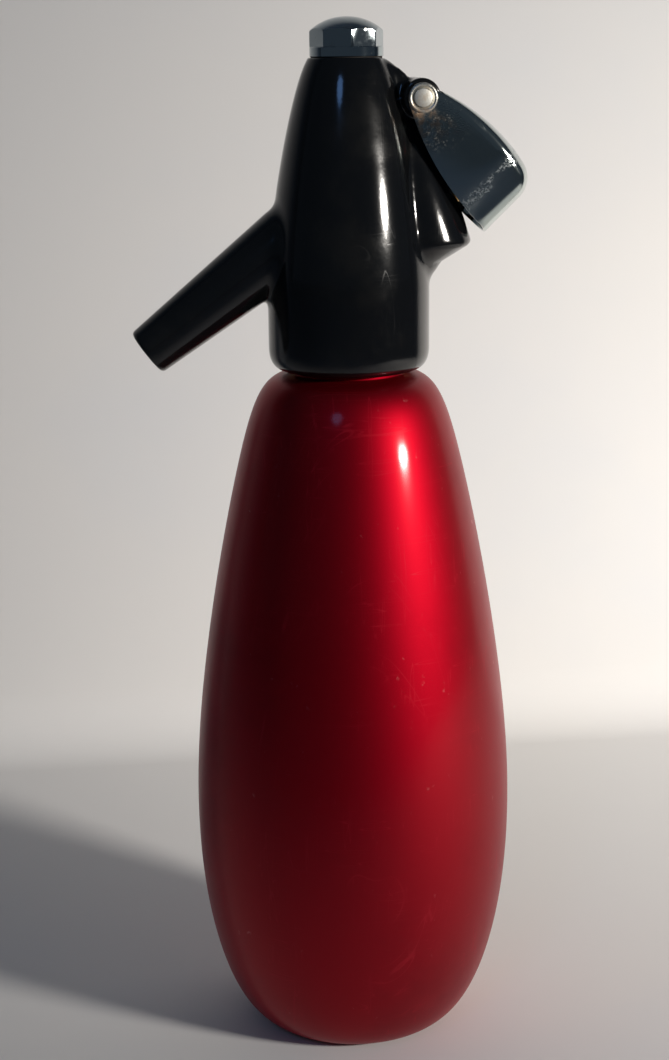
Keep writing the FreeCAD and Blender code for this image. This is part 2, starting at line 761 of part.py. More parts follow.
def make_charger_cap():
    """Domed cap with eight flats; its skirt screws into the sleeve."""
    skirt_radius = "sleeve_thread_radius - running_clearance"
    skirt_foot = "sleeve_thread_foot_height + cap_skirt_gap"
    body = turned_body("charger_cap", ("cap_bore_radius", skirt_foot), [
        line_to(skirt_radius, skirt_foot),
        line_to(skirt_radius, "cap_seat_height"),
        line_to("cap_radius", "cap_seat_height"),
        line_to("cap_radius", "cap_shoulder_height"),
        dome_to("cap_top_height", "cap_radius", "(cap_top_height - cap_shoulder_height)"),
        line_to("0", "cap_roof_height"),
        line_to("cap_roof_radius", "cap_roof_height - cap_roof_slope_drop"),
        line_to("cap_bore_radius", "cap_bore_height"),
    ])
    flats = circle(body, "cap_flats_outline", "0", "0", "cap_radius + cut_overrun",
                   offset="cap_flats_height")
    polygon(flats, CAP_FLATS, "cap_radius", 0)
    cut = body.newObject("PartDesign::Pocket", "cap_flats")
    cut.Profile = flats
    cut.Reversed = True
    bind(cut, Length="cap_top_height - cap_flats_height + cut_overrun")
    doc.recompute()
    return body


def make_cap_washer():
    """Fibre washer under the cap, on top of the sleeve."""
    return turned_body("cap_washer", ("sleeve_thread_radius", "sleeve_top_height"), [
        line_to("sleeve_radius", "sleeve_top_height"),
        line_to("sleeve_radius", "cap_seat_height"),
        line_to("sleeve_thread_radius", "cap_seat_height"),
    ])


def make_co2_charger():
    """Steel gas bulb, neck down, with the hole that the needle has made."""
    neck_top = "charger_tip_height + charger_neck_length"
    shoulder_top = f"{neck_top} + charger_shoulder_length"
    dome_foot = "charger_top_height - charger_radius"
    return turned_body("co2_charger", ("charger_mouth_radius", "charger_tip_height"), [
        line_to("charger_neck_radius", "charger_tip_height"),
        line_to("charger_neck_radius", neck_top),
        arc_to("charger_radius", shoulder_top, "charger_shoulder_rounding", 1),
        line_to("charger_radius", dome_foot),
        arc_to("0", "charger_top_height", "charger_radius", 1),
        line_to("0", "charger_tip_height + charger_mouth_depth"),
        line_to("charger_mouth_radius", "charger_tip_height + charger_mouth_depth"),
    ])


def make_piercer_body():
    """Brass plug at the chamber's foot that carries the needle and the seal."""
    needle_hole = "needle_radius + fixed_clearance"
    plug_radius = "sleeve_bore_radius - fixed_clearance"
    return turned_body("piercer_body", ("gas_hole_radius", "sleeve_foot_height"), [
        line_to(plug_radius, "sleeve_foot_height"),
        line_to(plug_radius, "piercer_top_height"),
        line_to("piercer_socket_radius", "piercer_top_height"),
        line_to("piercer_socket_radius", "seal_foot_height"),
        line_to(needle_hole, "seal_foot_height"),
        line_to(needle_hole, "needle_foot_height"),
        line_to("gas_hole_radius", "needle_foot_height"),
    ])


def make_piercing_needle():
    """Hollow steel needle that stands up into the charger's neck."""
    tip = "charger_tip_height + needle_stroke"
    return turned_body("piercing_needle", ("needle_bore_radius", "needle_foot_height"), [
        line_to("needle_radius", "needle_foot_height"),
        line_to("needle_radius", f"{tip} - needle_point_length"),
        line_to("needle_bore_radius", tip),
    ])


def make_charger_seal():
    """Rubber ring that the charger's neck is pressed down on."""
    return turned_body("charger_seal", ("needle_radius + fixed_clearance", "seal_foot_height"), [
        line_to("piercer_socket_radius - fixed_clearance", "seal_foot_height"),
        line_to("piercer_socket_radius - fixed_clearance", "charger_tip_height"),
        line_to("needle_radius + fixed_clearance", "charger_tip_height"),
    ])


def make_gas_nozzle():
    """Brass nozzle that lets the gas down into the bottle's neck."""
    return turned_body("gas_nozzle", ("nozzle_bore_radius", "nozzle_foot_height"), [
        line_to("nozzle_spigot_radius", "nozzle_foot_height"),
        line_to("nozzle_spigot_radius", "nozzle_flange_foot_height"),
        line_to("nozzle_flange_radius", "nozzle_flange_foot_height"),
        line_to("nozzle_flange_radius", "roof_height"),
        line_to("nozzle_shank_radius", "roof_height"),
        line_to("nozzle_shank_radius", "sleeve_foot_height"),
        line_to("nozzle_bore_radius", "sleeve_foot_height"),
    ])


def make_check_sleeve():
    """Rubber sleeve on the nozzle that lets gas out and no water back."""
    bore_radius = "nozzle_spigot_radius + fixed_clearance"
    foot = "nozzle_flange_foot_height - check_sleeve_length"
    return turned_body("check_sleeve", (bore_radius, foot), [
        line_to("check_sleeve_radius", foot),
        line_to("check_sleeve_radius", "nozzle_flange_foot_height"),
        line_to(bore_radius, "nozzle_flange_foot_height"),
    ])


# ---------------------------------------------------------------- siphon tube

def make_siphon_tube():
    """Tube from the valve's inlet down to the bottle's bottom."""
    body = turned_body("siphon_tube", ("tube_bore_radius", "tube_foot_height"), [
        line_to("tube_radius", "tube_foot_height"),
        line_to("tube_radius", "tube_top_height"),
        line_to("tube_bore_radius", "tube_top_height"),
    ])
    lay(body, "tube_x")
    return body


def make_tube_tip():
    """Plastic foot on the tube, slotted so that it can't seal on the bottom."""
    grip_radius = "tube_radius + fixed_clearance"
    body = turned_body("tube_tip", ("tube_bore_radius", "tube_tip_foot_height"), [
        line_to("tube_tip_radius", "tube_tip_foot_height"),
        line_to("tube_tip_radius", "tube_tip_foot_height + tube_tip_length"),
        line_to(grip_radius, "tube_tip_foot_height + tube_tip_length"),
        line_to(grip_radius, "tube_foot_height"),
        line_to("tube_bore_radius", "tube_foot_height"),
    ])
    half_length = "(tube_tip_radius + cut_overrun)"
    for name, angle in (("slot_x", 0), ("slot_y", 90)):
        slot = body.newObject("PartDesign::SubtractiveBox", "tube_tip_" + name)
        bind(slot, Length=f"2 * {half_length}", Width="tube_tip_slot_width",
             Height="tube_tip_slot_height")
        turn = FreeCAD.Rotation(FreeCAD.Vector(0, 0, 1), angle)
        shift = turn.multVec(point((f"-{half_length}", "-tube_tip_slot_width / 2")))
        slot.Placement = FreeCAD.Placement(shift, turn)
        bind(slot, Placement__Base__z="tube_tip_foot_height")
        doc.recompute()
    lay(body, "tube_x")
    return body


# ---------------------------------------------------------------- valve

def lay_on_valve_axis(body):
    """Turn a piece's own +Z to point out of the housing, up to the lever."""
    lay(body, "valve_x", "valve_height", "90 - valve_slope")
    return body


def make_valve_barrel():
    """Brass barrel in the housing, with the seat half way and an outlet port."""
    body = turned_body("valve_barrel", ("barrel_thread_radius", "0"), [
        line_to("barrel_radius", "0"),
        line_to("barrel_radius", "-barrel_length"),
        line_to("inflow_bore_radius", "-barrel_length"),
        line_to("inflow_bore_radius", "-washer_depth"),
        line_to("seat_bore_radius", "-washer_depth"),
        line_to("seat_bore_radius", "-seat_depth"),
        line_to("outflow_bore_radius", "-seat_depth"),
        line_to("outflow_bore_radius", "-seal_depth"),
        line_to("barrel_thread_radius", "-seal_depth"),
    ])
    bore(body, "outlet_port", "outlet_port_radius", "barrel_radius + cut_overrun",
         height="-outlet_port_depth", angle="-90")
    return lay_on_valve_axis(body)


def make_gland_nut():
    """Hexagon nut that holds the seal and guides the stem."""
    body = turned_body("gland_nut", ("stem_radius + running_clearance", "-gland_length"), [
        line_to("barrel_thread_radius - fixed_clearance", "-gland_length"),
        line_to("barrel_thread_radius - fixed_clearance", "0"),
        line_to("stem_radius + running_clearance", "0"),
    ])
    hexagon = circle(body, "gland_head_outline", "0", "0", "stem_radius + running_clearance")
    polygon(hexagon, NUT_FLATS, "gland_head_flats / sqrt(3)", 0)
    head = body.newObject("PartDesign::Pad", "gland_head")
    head.Profile = hexagon
    bind(head, Length="gland_head_thickness")
    doc.recompute()
    return lay_on_valve_axis(body)


def make_stem_seal():
    """Rubber ring round the stem, under the gland nut."""
    body = turned_body("stem_seal", ("stem_radius + running_clearance", "-seal_depth"), [
        line_to("barrel_thread_radius - fixed_clearance", "-seal_depth"),
        line_to("barrel_thread_radius - fixed_clearance", "-gland_length"),
        line_to("stem_radius + running_clearance", "-gland_length"),
    ])
    return lay_on_valve_axis(body)


def make_valve_stem():
    """Brass rod from the button, through the gland and the seat, to the washer."""
    tail = "-(nut_depth + washer_nut_thickness)"
    body = turned_body("valve_stem", ("0", "stem_reach"), [
        line_to("stem_radius", "stem_reach"),
        line_to("stem_radius", "-washer_depth"),
        line_to("stem_tail_radius", "-washer_depth"),
        line_to("stem_tail_radius", tail),
        line_to("0", tail),
    ])
    return lay_on_valve_axis(body)


def make_valve_washer():
    """Rubber washer that closes on the inner side of the seat."""
    hole = "stem_tail_radius + fixed_clearance"
    body = turned_body("valve_washer", (hole, "-nut_depth"), [
        line_to("valve_washer_radius", "-nut_depth"),
        line_to("valve_washer_radius", "-washer_depth"),
        line_to(hole, "-washer_depth"),
    ])
    return lay_on_valve_axis(body)


def make_washer_nut():
    """Round nut that holds the washer on the stem's tail."""
    hole = "stem_tail_radius + fixed_clearance"
    foot = "-(nut_depth + washer_nut_thickness)"
    body = turned_body("washer_nut", (hole, foot), [
        line_to("washer_nut_radius", foot),
        line_to("washer_nut_radius", "-nut_depth"),
        line_to(hole, "-nut_depth"),
    ])
    return lay_on_valve_axis(body)


def make_push_button():
    """Domed plastic button on the stem, which the lever's back presses."""
    hole = "stem_radius + fixed_clearance"
    body = turned_body("push_button", (hole, "button_foot"), [
        line_to("button_radius", "button_foot"),
        line_to("button_radius", "button_shoulder"),
        dome_to("button_top", "button_radius", "(button_top - button_shoulder)"),
        line_to("0", "stem_reach"),
        line_to(hole, "stem_reach"),
    ])
    return lay_on_valve_axis(body)


def make_valve_spring():
    """Coil spring round the stem, between the gland nut and the button."""
    body = new_body("valve_spring")
    foot = "gland_head_thickness + spring_wire_radius"
    wire = circle(body, "spring_wire", "spring_radius", foot, "spring_wire_radius", "XZ_Plane")
    coil = body.newObject("PartDesign::AdditiveHelix", "spring_coil")
    coil.Profile = wire
    coil.ReferenceAxis = (wire, ["V_Axis"])
    coil.Mode = "pitch-height-angle"
    bind(coil, Pitch="spring_pitch",
         Height="button_foot - gland_head_thickness - 2 * spring_wire_radius")
    doc.recompute()
    return lay_on_valve_axis(body)


# ---------------------------------------------------------------- lever

def lever_corners(part, inset):
    """Shoulder, heel and toe of the lever's side view, moved inwards by an inset."""
    def moved(corner, wall):
        return (f"pivot_x + {part}_{corner}_offset - {inset} * {wall}_normal_x",
                f"pivot_height - {part}_{corner}_drop - {inset} * {wall}_normal_z")
    return moved("shoulder", "back"), moved("heel", "end"), moved("toe", "end")


def on_ear(angle):
    """A point on the ear's round end, at a named angle about the pivot."""
    return (f"pivot_x + ear_radius * cos({angle} * 1 deg)",
            f"pivot_height + ear_radius * sin({angle} * 1 deg)")


def lever_side(body, name, part, offset):
    """One of the three outlines that the lever's outside is lofted through."""
    shoulder, heel, toe = lever_corners(part, "0")
    start = on_ear("ear_start_angle")
    return outline(body, name, start, [
        arc_to(*on_ear("ear_end_angle"), "ear_radius", -1),
        arc_to(*shoulder, f"{part}_back_radius", -1),
        arc_to(*heel, f"{part}_corner_radius", -1),
        line_to(*toe),
        arc_to(*start, "side_front_radius", -1),
    ], offset=offset)


def lever_room(body, name, part, inset, offset):
    """One of the three outlines that the lever's inside is lofted through."""
    shoulder, heel, toe = lever_corners(part, inset)
    start = ("pivot_x - ear_radius - lever_open_margin", "pivot_height")
    open_toe = (f"{toe[0]} + lever_open_margin * end_normal_z",
                f"{toe[1]} - lever_open_margin * end_normal_x")
    top = ("pivot_x", f"pivot_height + ear_radius - {inset}")
    return outline(body, name, start, [
        line_to(*top),
        arc_to(*shoulder, f"{part}_back_radius", -1),
        arc_to(*heel, f"{part}_corner_radius - {inset}", -1),
        line_to(*open_toe),
    ], offset=offset)


def make_lever():
    """Drawn lever: two ears on the pin, flat sides, and a bowed back and end."""
    body = new_body("lever")
    half = "lever_width / 2"
    outside = [lever_side(body, "lever_near", "side", half),
               lever_side(body, "lever_middle", "middle", "0"),
               lever_side(body, "lever_far", "side", f"-{half}")]
    loft_through(body, "lever_outside", "AdditiveLoft", outside)
    room_half = f"({half} - lever_wall)"
    bow_share = f"(1 - ({room_half} / ({half})) ^ 2)"
    bow = "(middle_corner_radius - side_corner_radius)"
    side_inset = f"(lever_wall - {bow} * {bow_share})"
    inside = [lever_room(body, "room_near", "side", side_inset, room_half),
              lever_room(body, "room_middle", "middle", "lever_wall", "0"),
              lever_room(body, "room_far", "side", side_inset, f"-{room_half}")]
    loft_through(body, "lever_inside", "SubtractiveLoft", inside)
    knuckle_room = body.newObject("PartDesign::SubtractiveCylinder", "knuckle_room")
    room_width = "(lever_width - 2 * lever_wall)"
    bind(knuckle_room, Radius="knuckle_radius + lever_knuckle_gap", Height=room_width)
    across(knuckle_room, "pivot_x", "pivot_height", room_width)
    for side in (1, -1):
        add_ear_collar(body, side)
    hole = body.newObject("PartDesign::SubtractiveCylinder", "pin_hole")
    hole_length = "(lever_width + 2 * cut_overrun)"
    bind(hole, Radius="pin_radius + running_clearance", Height=hole_length)
    across(hole, "pivot_x", "pivot_height", hole_length)
    return body


def add_ear_collar(body, side):
    """Raised rim round the pin's hole on one ear, with a countersink in it."""
    name = "near" if side > 0 else "far"
    collar = body.newObject("PartDesign::AdditiveCylinder", "ear_collar_" + name)
    bind(collar, Radius="ear_radius", Height="ear_collar_height + lever_wall / 2")
    sink = body.newObject("PartDesign::SubtractiveCone", "ear_countersink_" + name)
    bind(sink, Radius1="pin_radius", Radius2="ear_countersink_radius",
         Height="ear_collar_height + lever_wall / 2")
    for feature in (collar, sink):
        turn = FreeCAD.Rotation(FreeCAD.Vector(1, 0, 0), 90 * side)
        feature.Placement = FreeCAD.Placement(FreeCAD.Vector(), turn)
        bind(feature, Placement__Base__x="pivot_x", Placement__Base__z="pivot_height",
             Placement__Base__y=f"-{side} * (lever_width - lever_wall) / 2")
        doc.recompute()


def make_lever_pin():
    """Steel pin through the knuckle and both ears."""
    half = "pin_length / 2"
    body = turned_body("lever_pin", ("0", f"-{half}"), [
        line_to("pin_radius - pin_chamfer", f"-{half}"),
        line_to("pin_radius", f"pin_chamfer - {half}"),
        line_to("pin_radius", f"{half} - pin_chamfer"),
        line_to("pin_radius - pin_chamfer", half),
        line_to("0", half),
    ])
    turn = FreeCAD.Rotation(FreeCAD.Vector(1, 0, 0), 90)
    body.Placement = FreeCAD.Placement(FreeCAD.Vector(), turn)
    bind(body, Placement__Base__x="pivot_x", Placement__Base__z="pivot_height")
    return body


# ---------------------------------------------------------------- build and write

SUB_PARTS = [
    make_bottle, make_base_pad, make_head_body, make_neck_ring, make_neck_gasket,
    make_charger_sleeve, make_charger_cap, make_cap_washer, make_co2_charger,
    make_piercer_body, make_piercing_needle, make_charger_seal, make_gas_nozzle,
    make_check_sleeve, make_siphon_tube, make_tube_tip, make_valve_barrel,
    make_gland_nut, make_stem_seal, make_valve_stem, make_valve_washer,
    make_washer_nut, make_push_button, make_valve_spring, make_lever, make_lever_pin,
]
bodies = [make() for make in SUB_PARTS]
doc.recompute()

for item in doc.Objects:
    if "Invalid" in item.State or "Error" in item.State:
        raise RuntimeError(f"{item.Label} failed to build: {item.State}")
for body in bodies:
    shape = body.Shape
    if shape.isNull() or not shape.isValid() or len(shape.Solids) != 1:
        raise RuntimeError(f"{body.Label} isn't one valid solid")
for body in bodies:
    body.Shape.exportStep(f"parts/{body.Label}.step")
    print(f"{body.Label:18s} volume {body.Shape.Volume:10.1f} mm3")
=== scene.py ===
# %% [markdown]
# # A soda siphon, dressed in Blender
# The siphon is a deep red anodised bottle with a black moulded head, a sloping
# spout, a chromed squeeze lever and a faceted cap over the gas charger.
# Its exact solids come in first as a fixed frame. Each piece that shows from
# outside is then modelled again with a smooth skin and rounded edges. The inner
# solids keep their shapes, and every piece gets a finish of nodes.

# %% Load the frame
import json
import math

import bmesh
import bpy
from mathutils import Matrix, Vector
from mathutils.bvhtree import BVHTree

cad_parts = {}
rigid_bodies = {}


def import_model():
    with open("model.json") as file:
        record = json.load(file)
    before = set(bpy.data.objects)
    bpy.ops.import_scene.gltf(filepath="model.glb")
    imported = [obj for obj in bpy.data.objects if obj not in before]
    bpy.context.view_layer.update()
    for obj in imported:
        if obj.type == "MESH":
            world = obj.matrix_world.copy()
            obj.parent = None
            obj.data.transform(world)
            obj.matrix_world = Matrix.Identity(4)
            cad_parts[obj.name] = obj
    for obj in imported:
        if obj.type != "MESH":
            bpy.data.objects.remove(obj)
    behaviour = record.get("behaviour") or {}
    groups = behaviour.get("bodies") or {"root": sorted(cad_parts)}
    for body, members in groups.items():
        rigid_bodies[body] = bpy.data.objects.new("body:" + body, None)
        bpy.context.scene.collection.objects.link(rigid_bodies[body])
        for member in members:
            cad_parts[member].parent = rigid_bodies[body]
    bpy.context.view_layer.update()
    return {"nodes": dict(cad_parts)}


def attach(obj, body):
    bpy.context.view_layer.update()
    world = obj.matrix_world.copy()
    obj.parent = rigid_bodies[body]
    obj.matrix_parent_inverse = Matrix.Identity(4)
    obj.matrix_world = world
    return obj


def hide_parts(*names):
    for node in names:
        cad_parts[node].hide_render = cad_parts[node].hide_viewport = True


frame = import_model()
nodes = frame["nodes"]
MM = 0.001  # sizes are written in millimetres and multiplied by this
SAME_SPOT = 1e-6  # points nearer than this, in metres, are one point
print("solids in the frame:", len(nodes))

# %% [markdown]
# ## The view
# The camera stands a little to the left of the siphon's own front and looks
# down by fifteen degrees. Its place and turn are given as numbers, because a
# tracked camera would move when the object changes. The turn is three simple
# turns multiplied: heading, tilt and a slight roll.


# %% Helper: put an object in the scene
def placed(name, data):
    """Make an object of some data and link it to the scene."""
    holder = bpy.data.objects.new(name, data)
    bpy.context.scene.collection.objects.link(holder)
    return holder


# %% Camera
HEADING, TILT, ROLL = -6.47, 74.92, -0.64  # degrees; a tilt of 90 looks level
STAND = (-0.07385, -0.6015, 0.3455)
camera_data = bpy.data.cameras.new("camera")
camera_data.sensor_fit = "VERTICAL"
camera_data.sensor_height = 36.0
camera_data.lens = 61.13
camera = placed("camera", camera_data)
heading = Matrix.Rotation(math.radians(HEADING), 4, "Z")
tilt = Matrix.Rotation(math.radians(TILT), 4, "X")
roll = Matrix.Rotation(math.radians(ROLL), 4, "Z")
camera.matrix_world = Matrix.Translation(STAND) @ heading @ tilt @ roll
bpy.context.scene.camera = camera
print("camera at", [round(c, 3) for c in camera.matrix_world.translation])

# %% [markdown]
# ## Turning a profile
# Most pieces here are turned: a line is drawn from the axis outwards and spun
# about it. The spin operator does this in one step. Points on the axis end up
# on top of each other, so doubles are merged before the normals are worked out.


# %% Helper: turn a profile about the upright axis
def turned(profile, steps=128):
    """Spin radius and height pairs, in millimetres, into a closed skin."""
    work = bmesh.new()
    points = [work.verts.new((r * MM, 0.0, z * MM)) for r, z in profile]
    lines = [work.edges.new(pair) for pair in zip(points, points[1:])]
    if min(profile[0][0], profile[-1][0]) > 0.0:
        lines.append(work.edges.new((points[-1], points[0])))
    bmesh.ops.spin(work, geom=points + lines, cent=(0, 0, 0), axis=(0, 0, 1),
                   angle=math.tau, steps=steps, use_merge=True)
    bmesh.ops.remove_doubles(work, verts=work.verts, dist=SAME_SPOT)
    bmesh.ops.recalc_face_normals(work, faces=work.faces)
    return work


# %% [markdown]
# ## Curved profiles
# The bottle's wall has no straight stretch. A NURBS curve of a few control
# points gives such a line, and Blender turns the curve into a fine polyline.


# %% Helper: read a smooth line from a few control points
def smooth_line(controls, resolution=16):
    """Points of a NURBS curve through the two ends, as radius and height pairs."""
    curve = bpy.data.curves.new("line", "CURVE")
    curve.dimensions = "3D"
    spline = curve.splines.new("NURBS")
    spline.points.add(len(controls) - 1)
    for control, (r, z) in zip(spline.points, controls):
        control.co = (r, 0.0, z, 1.0)
    spline.order_u = 4
    spline.use_endpoint_u = True
    spline.resolution_u = resolution
    holder = bpy.data.objects.new("line", curve)
    mesh = bpy.data.meshes.new_from_object(holder)
    points = [(v.co.x, v.co.z) for v in mesh.vertices]
    bpy.data.meshes.remove(mesh)
    bpy.data.objects.remove(holder)
    bpy.data.curves.remove(curve)
    return points


print("a smooth line has", len(smooth_line([(0, 0), (1, 0), (1, 1), (2, 1)])), "points")

# %% [markdown]
# ## Eased edges
# No made object has a perfectly sharp edge. A narrow bevel along each sharp
# edge catches a thin highlight, which is what makes it look solid.


# %% Helper: ease the sharp edges
def ease(work, width, segments=2, angle=40.0, test=None):
    """Bevel the edges that turn by more than an angle, in degrees."""
    sharp = [e for e in work.edges if len(e.link_faces) == 2
             and e.calc_face_angle(0.0) > math.radians(angle)
             and (test is None or test(e))]
    bmesh.ops.bevel(work, geom=sharp, offset=width * MM, offset_type="OFFSET",
                    segments=segments, profile=0.5, affect="EDGES", material=-1,
                    clamp_overlap=True)
    return work


# %% [markdown]
# ## From a working mesh to a finished piece
# Each piece becomes an object at the origin, with its place in its mesh. It
# rides on one of the siphon's moving bodies and stands for the plain solids
# that it replaces.


# %% Helper: finish a piece
def finished(name, work, body, slot, material, *replaced, keep_sharp=38.0):
    """Make the object, shade it smooth and hand it to the frame."""
    mesh = bpy.data.meshes.new(name)
    work.to_mesh(mesh)
    work.free()
    mesh.materials.append(material)
    mesh.shade_smooth()
    mesh.set_sharp_from_angle(angle=math.radians(keep_sharp))
    piece = placed(name, mesh)
    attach(piece, body)
    if replaced:
        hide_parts(*replaced)
    print(name, "has", len(mesh.polygons), "faces and rides on", body)
    return piece


# %% [markdown]
# ## Shared effects
# Four effects turn up in several finishes: soft blotches where a surface is
# handled, fine scratches, round pits and a fine grain. Each is a node group
# with named inputs and outputs, so a finish only sets its own values.


# %% Helper: start a node group with named sockets
def effect_group(name, inputs, outputs):
    """A shader node group with float and vector inputs and float outputs."""
    group = bpy.data.node_groups.new(name, "ShaderNodeTree")
    for label, kind, value in inputs:
        socket = group.interface.new_socket(name=label, in_out="INPUT", socket_type=kind)
        if value is not None:
            socket.default_value = value
    for label in outputs:
        group.interface.new_socket(name=label, in_out="OUTPUT", socket_type="NodeSocketFloat")
    return group, group.nodes.new("NodeGroupInput"), group.nodes.new("NodeGroupOutput")


def math_node(tree, operation, first, *others):
    """Math nodes over sockets or plain numbers, one after the other; returns the output."""
    for second in others or (None,):
        node = tree.nodes.new("ShaderNodeMath")
        node.operation = operation
        for socket, value in zip(node.inputs, (first, second)):
            if isinstance(value, (int, float)):
                socket.default_value = value
            elif value is not None:
                tree.links.new(value, socket)
        first = node.outputs[0]
    return first


def ramp_node(tree, value, low, high):
    """A smooth step from 0 at low to 1 at high; swap them to fall instead."""
    node = tree.nodes.new("ShaderNodeMapRange")
    node.interpolation_type = "SMOOTHSTEP"
    node.inputs["From Min"].default_value = min(low, high)
    node.inputs["From Max"].default_value = max(low, high)
    node.inputs["To Min"].default_value = 0.0 if low < high else 1.0
    node.inputs["To Max"].default_value = 1.0 if low < high else 0.0
    tree.links.new(value, node.inputs["Value"])
    return node.outputs["Result"]


# %% Effect: soft blotches
VECTOR = ("Vector", "NodeSocketVector", None)
blotches, entry, leave = effect_group(
    "soft_blotches", [VECTOR, ("Scale", "NodeSocketFloat", 30.0),
                      ("Cover", "NodeSocketFloat", 0.5)], ["Mask"])
cloud = blotches.nodes.new("ShaderNodeTexNoise")
cloud.inputs["Detail"].default_value = 5.0
cloud.inputs["Roughness"].default_value = 0.62
blotches.links.new(entry.outputs["Vector"], cloud.inputs["Vector"])
blotches.links.new(entry.outputs["Scale"], cloud.inputs["Scale"])
half_cover = math_node(blotches, "MULTIPLY", entry.outputs["Cover"], 0.5)
limit = math_node(blotches, "SUBTRACT", 0.75, half_cover)  # few spots pass 0.75, most pass 0.25
over = math_node(blotches, "SUBTRACT", cloud.outputs["Fac"], limit)
blotches.links.new(ramp_node(blotches, over, 0.0, 0.22), leave.inputs["Mask"])
print("effect", blotches.name)

# %% [markdown]
# Scratches are a noise stretched along two directions, so that a surface cuts
# it in long streaks. Only a thin band of its values is kept, which leaves short
# hairlines, and three noises turned apart give them three directions.

# %% Effect: fine scratches
STREAKS = ((0.4, (1.0, 0.05, 0.07)), (1.9, (0.06, 1.0, 0.05)), (2.8, (0.05, 0.07, 1.0)))
scratches, entry, leave = effect_group(
    "fine_scratches", [VECTOR, ("Scale", "NodeSocketFloat", 300.0),
                       ("Amount", "NodeSocketFloat", 0.5)], ["Mask"])
hairlines = []
for turn, stretch in STREAKS:
    aim = scratches.nodes.new("ShaderNodeMapping")
    aim.inputs["Rotation"].default_value = (turn, turn * 0.7, turn * 1.3)
    aim.inputs["Scale"].default_value = stretch
    scratches.links.new(entry.outputs["Vector"], aim.inputs["Vector"])
    streaks = scratches.nodes.new("ShaderNodeTexNoise")
    streaks.inputs["Detail"].default_value = 1.0
    scratches.links.new(aim.outputs["Vector"], streaks.inputs["Vector"])
    scratches.links.new(entry.outputs["Scale"], streaks.inputs["Scale"])
    band = math_node(scratches, "ABSOLUTE",
                     math_node(scratches, "SUBTRACT", streaks.outputs["Fac"], 0.62))
    hairlines.append(ramp_node(scratches, band, 0.012, 0.0))
patchy = scratches.nodes.new("ShaderNodeTexNoise")
patchy.inputs["Scale"].default_value = 45.0
scratches.links.new(entry.outputs["Vector"], patchy.inputs["Vector"])
worn = ramp_node(scratches, patchy.outputs["Fac"], 0.45, 0.65)
kept = math_node(scratches, "MULTIPLY", math_node(scratches, "MAXIMUM", *hairlines), worn,
                 entry.outputs["Amount"])
scratches.links.new(kept, leave.inputs["Mask"])
print("effect", scratches.name)

# %% [markdown]
# Pits are the small round spots where plating has let go. Cells of a Voronoi
# texture give them a round shape, and a second noise decides where they cluster.

# %% Effect: pits
pits, entry, leave = effect_group(
    "pits", [VECTOR, ("Scale", "NodeSocketFloat", 900.0),
             ("Cover", "NodeSocketFloat", 0.5)], ["Mask"])
cells = pits.nodes.new("ShaderNodeTexVoronoi")
pits.links.new(entry.outputs["Vector"], cells.inputs["Vector"])
pits.links.new(entry.outputs["Scale"], cells.inputs["Scale"])
cluster = pits.nodes.new("ShaderNodeTexNoise")
cluster.inputs["Scale"].default_value = 260.0
cluster.inputs["Detail"].default_value = 3.0
pits.links.new(entry.outputs["Vector"], cluster.inputs["Vector"])
half_cover = math_node(pits, "MULTIPLY", entry.outputs["Cover"], 0.5)
limit = math_node(pits, "SUBTRACT", 0.85, half_cover)
over = math_node(pits, "SUBTRACT", cluster.outputs["Fac"], limit)
clustered = ramp_node(pits, over, 0.0, 0.12)
spot = ramp_node(pits, cells.outputs["Distance"], 0.55, 0.15)
pits.links.new(math_node(pits, "MULTIPLY", spot, clustered), leave.inputs["Mask"])
print("effect", pits.name)

# %% [markdown]
# Grain is the fine unevenness that even a smooth surface has. It is plain noise,
# and it puts out a height for a bump instead of a mask.

# %% Effect: fine grain
grain, entry, leave = effect_group(
    "fine_grain", [VECTOR, ("Scale", "NodeSocketFloat", 1500.0)], ["Height"])
dust = grain.nodes.new("ShaderNodeTexNoise")
dust.inputs["Detail"].default_value = 3.0
grain.links.new(entry.outputs["Vector"], dust.inputs["Vector"])
grain.links.new(entry.outputs["Scale"], dust.inputs["Scale"])
grain.links.new(dust.outputs["Fac"], leave.inputs["Height"])
print("effect", grain.name)

# %% [markdown]
# ## Building a finish
# A finish is one Principled BSDF. Values that are the same all over are typed
# into its own sockets, and only what changes over the surface comes by a link.


# %% Helper: start a finish
METAL, NOT_METAL = 1.0, 0.0


def new_finish(name, colour, metallic, roughness, **extra):
    """A material with its Principled BSDF, its tree and object coordinates."""
    material = bpy.data.materials.new(name)
    material.use_nodes = True
    tree = material.node_tree
    shader = tree.nodes["Principled BSDF"]
    shader.inputs["Base Color"].default_value = (*colour, 1.0)
    shader.inputs["Metallic"].default_value = metallic
    shader.inputs["Roughness"].default_value = roughness
    for label, value in extra.items():
        shader.inputs[label.replace("_", " ")].default_value = value
    material.diffuse_color = (*colour, 1.0)
    coords = tree.nodes.new("ShaderNodeTexCoord").outputs["Object"]
    return material, tree, shader, coords


def effect(tree, group, coords, **values):
    """Place a shared effect in a finish."""
    node = tree.nodes.new("ShaderNodeGroup")
    node.node_tree = group
    tree.links.new(coords, node.inputs["Vector"])
    for label, value in values.items():
        node.inputs[label].default_value = value
    return node.outputs


def colour_mix(tree, mask, first, second):
    """A colour that goes from one to the other by a mask."""
    node = tree.nodes.new("ShaderNodeMix")
    node.data_type = "RGBA"
    sockets = [s for s in node.inputs if s.type == "RGBA"]
    for socket, value in zip(sockets, (first, second)):
        if isinstance(value, tuple):
            socket.default_value = (*value, 1.0)
        else:
            tree.links.new(value, socket)
    tree.links.new(mask, node.inputs["Factor"])
    return next(s for s in node.outputs if s.type == "RGBA")


def value_mix(tree, mask, first, second):
    """A number that goes from one to the other by a mask."""
    span = math_node(tree, "MULTIPLY", mask, second - first)
    return math_node(tree, "ADD", span, first)


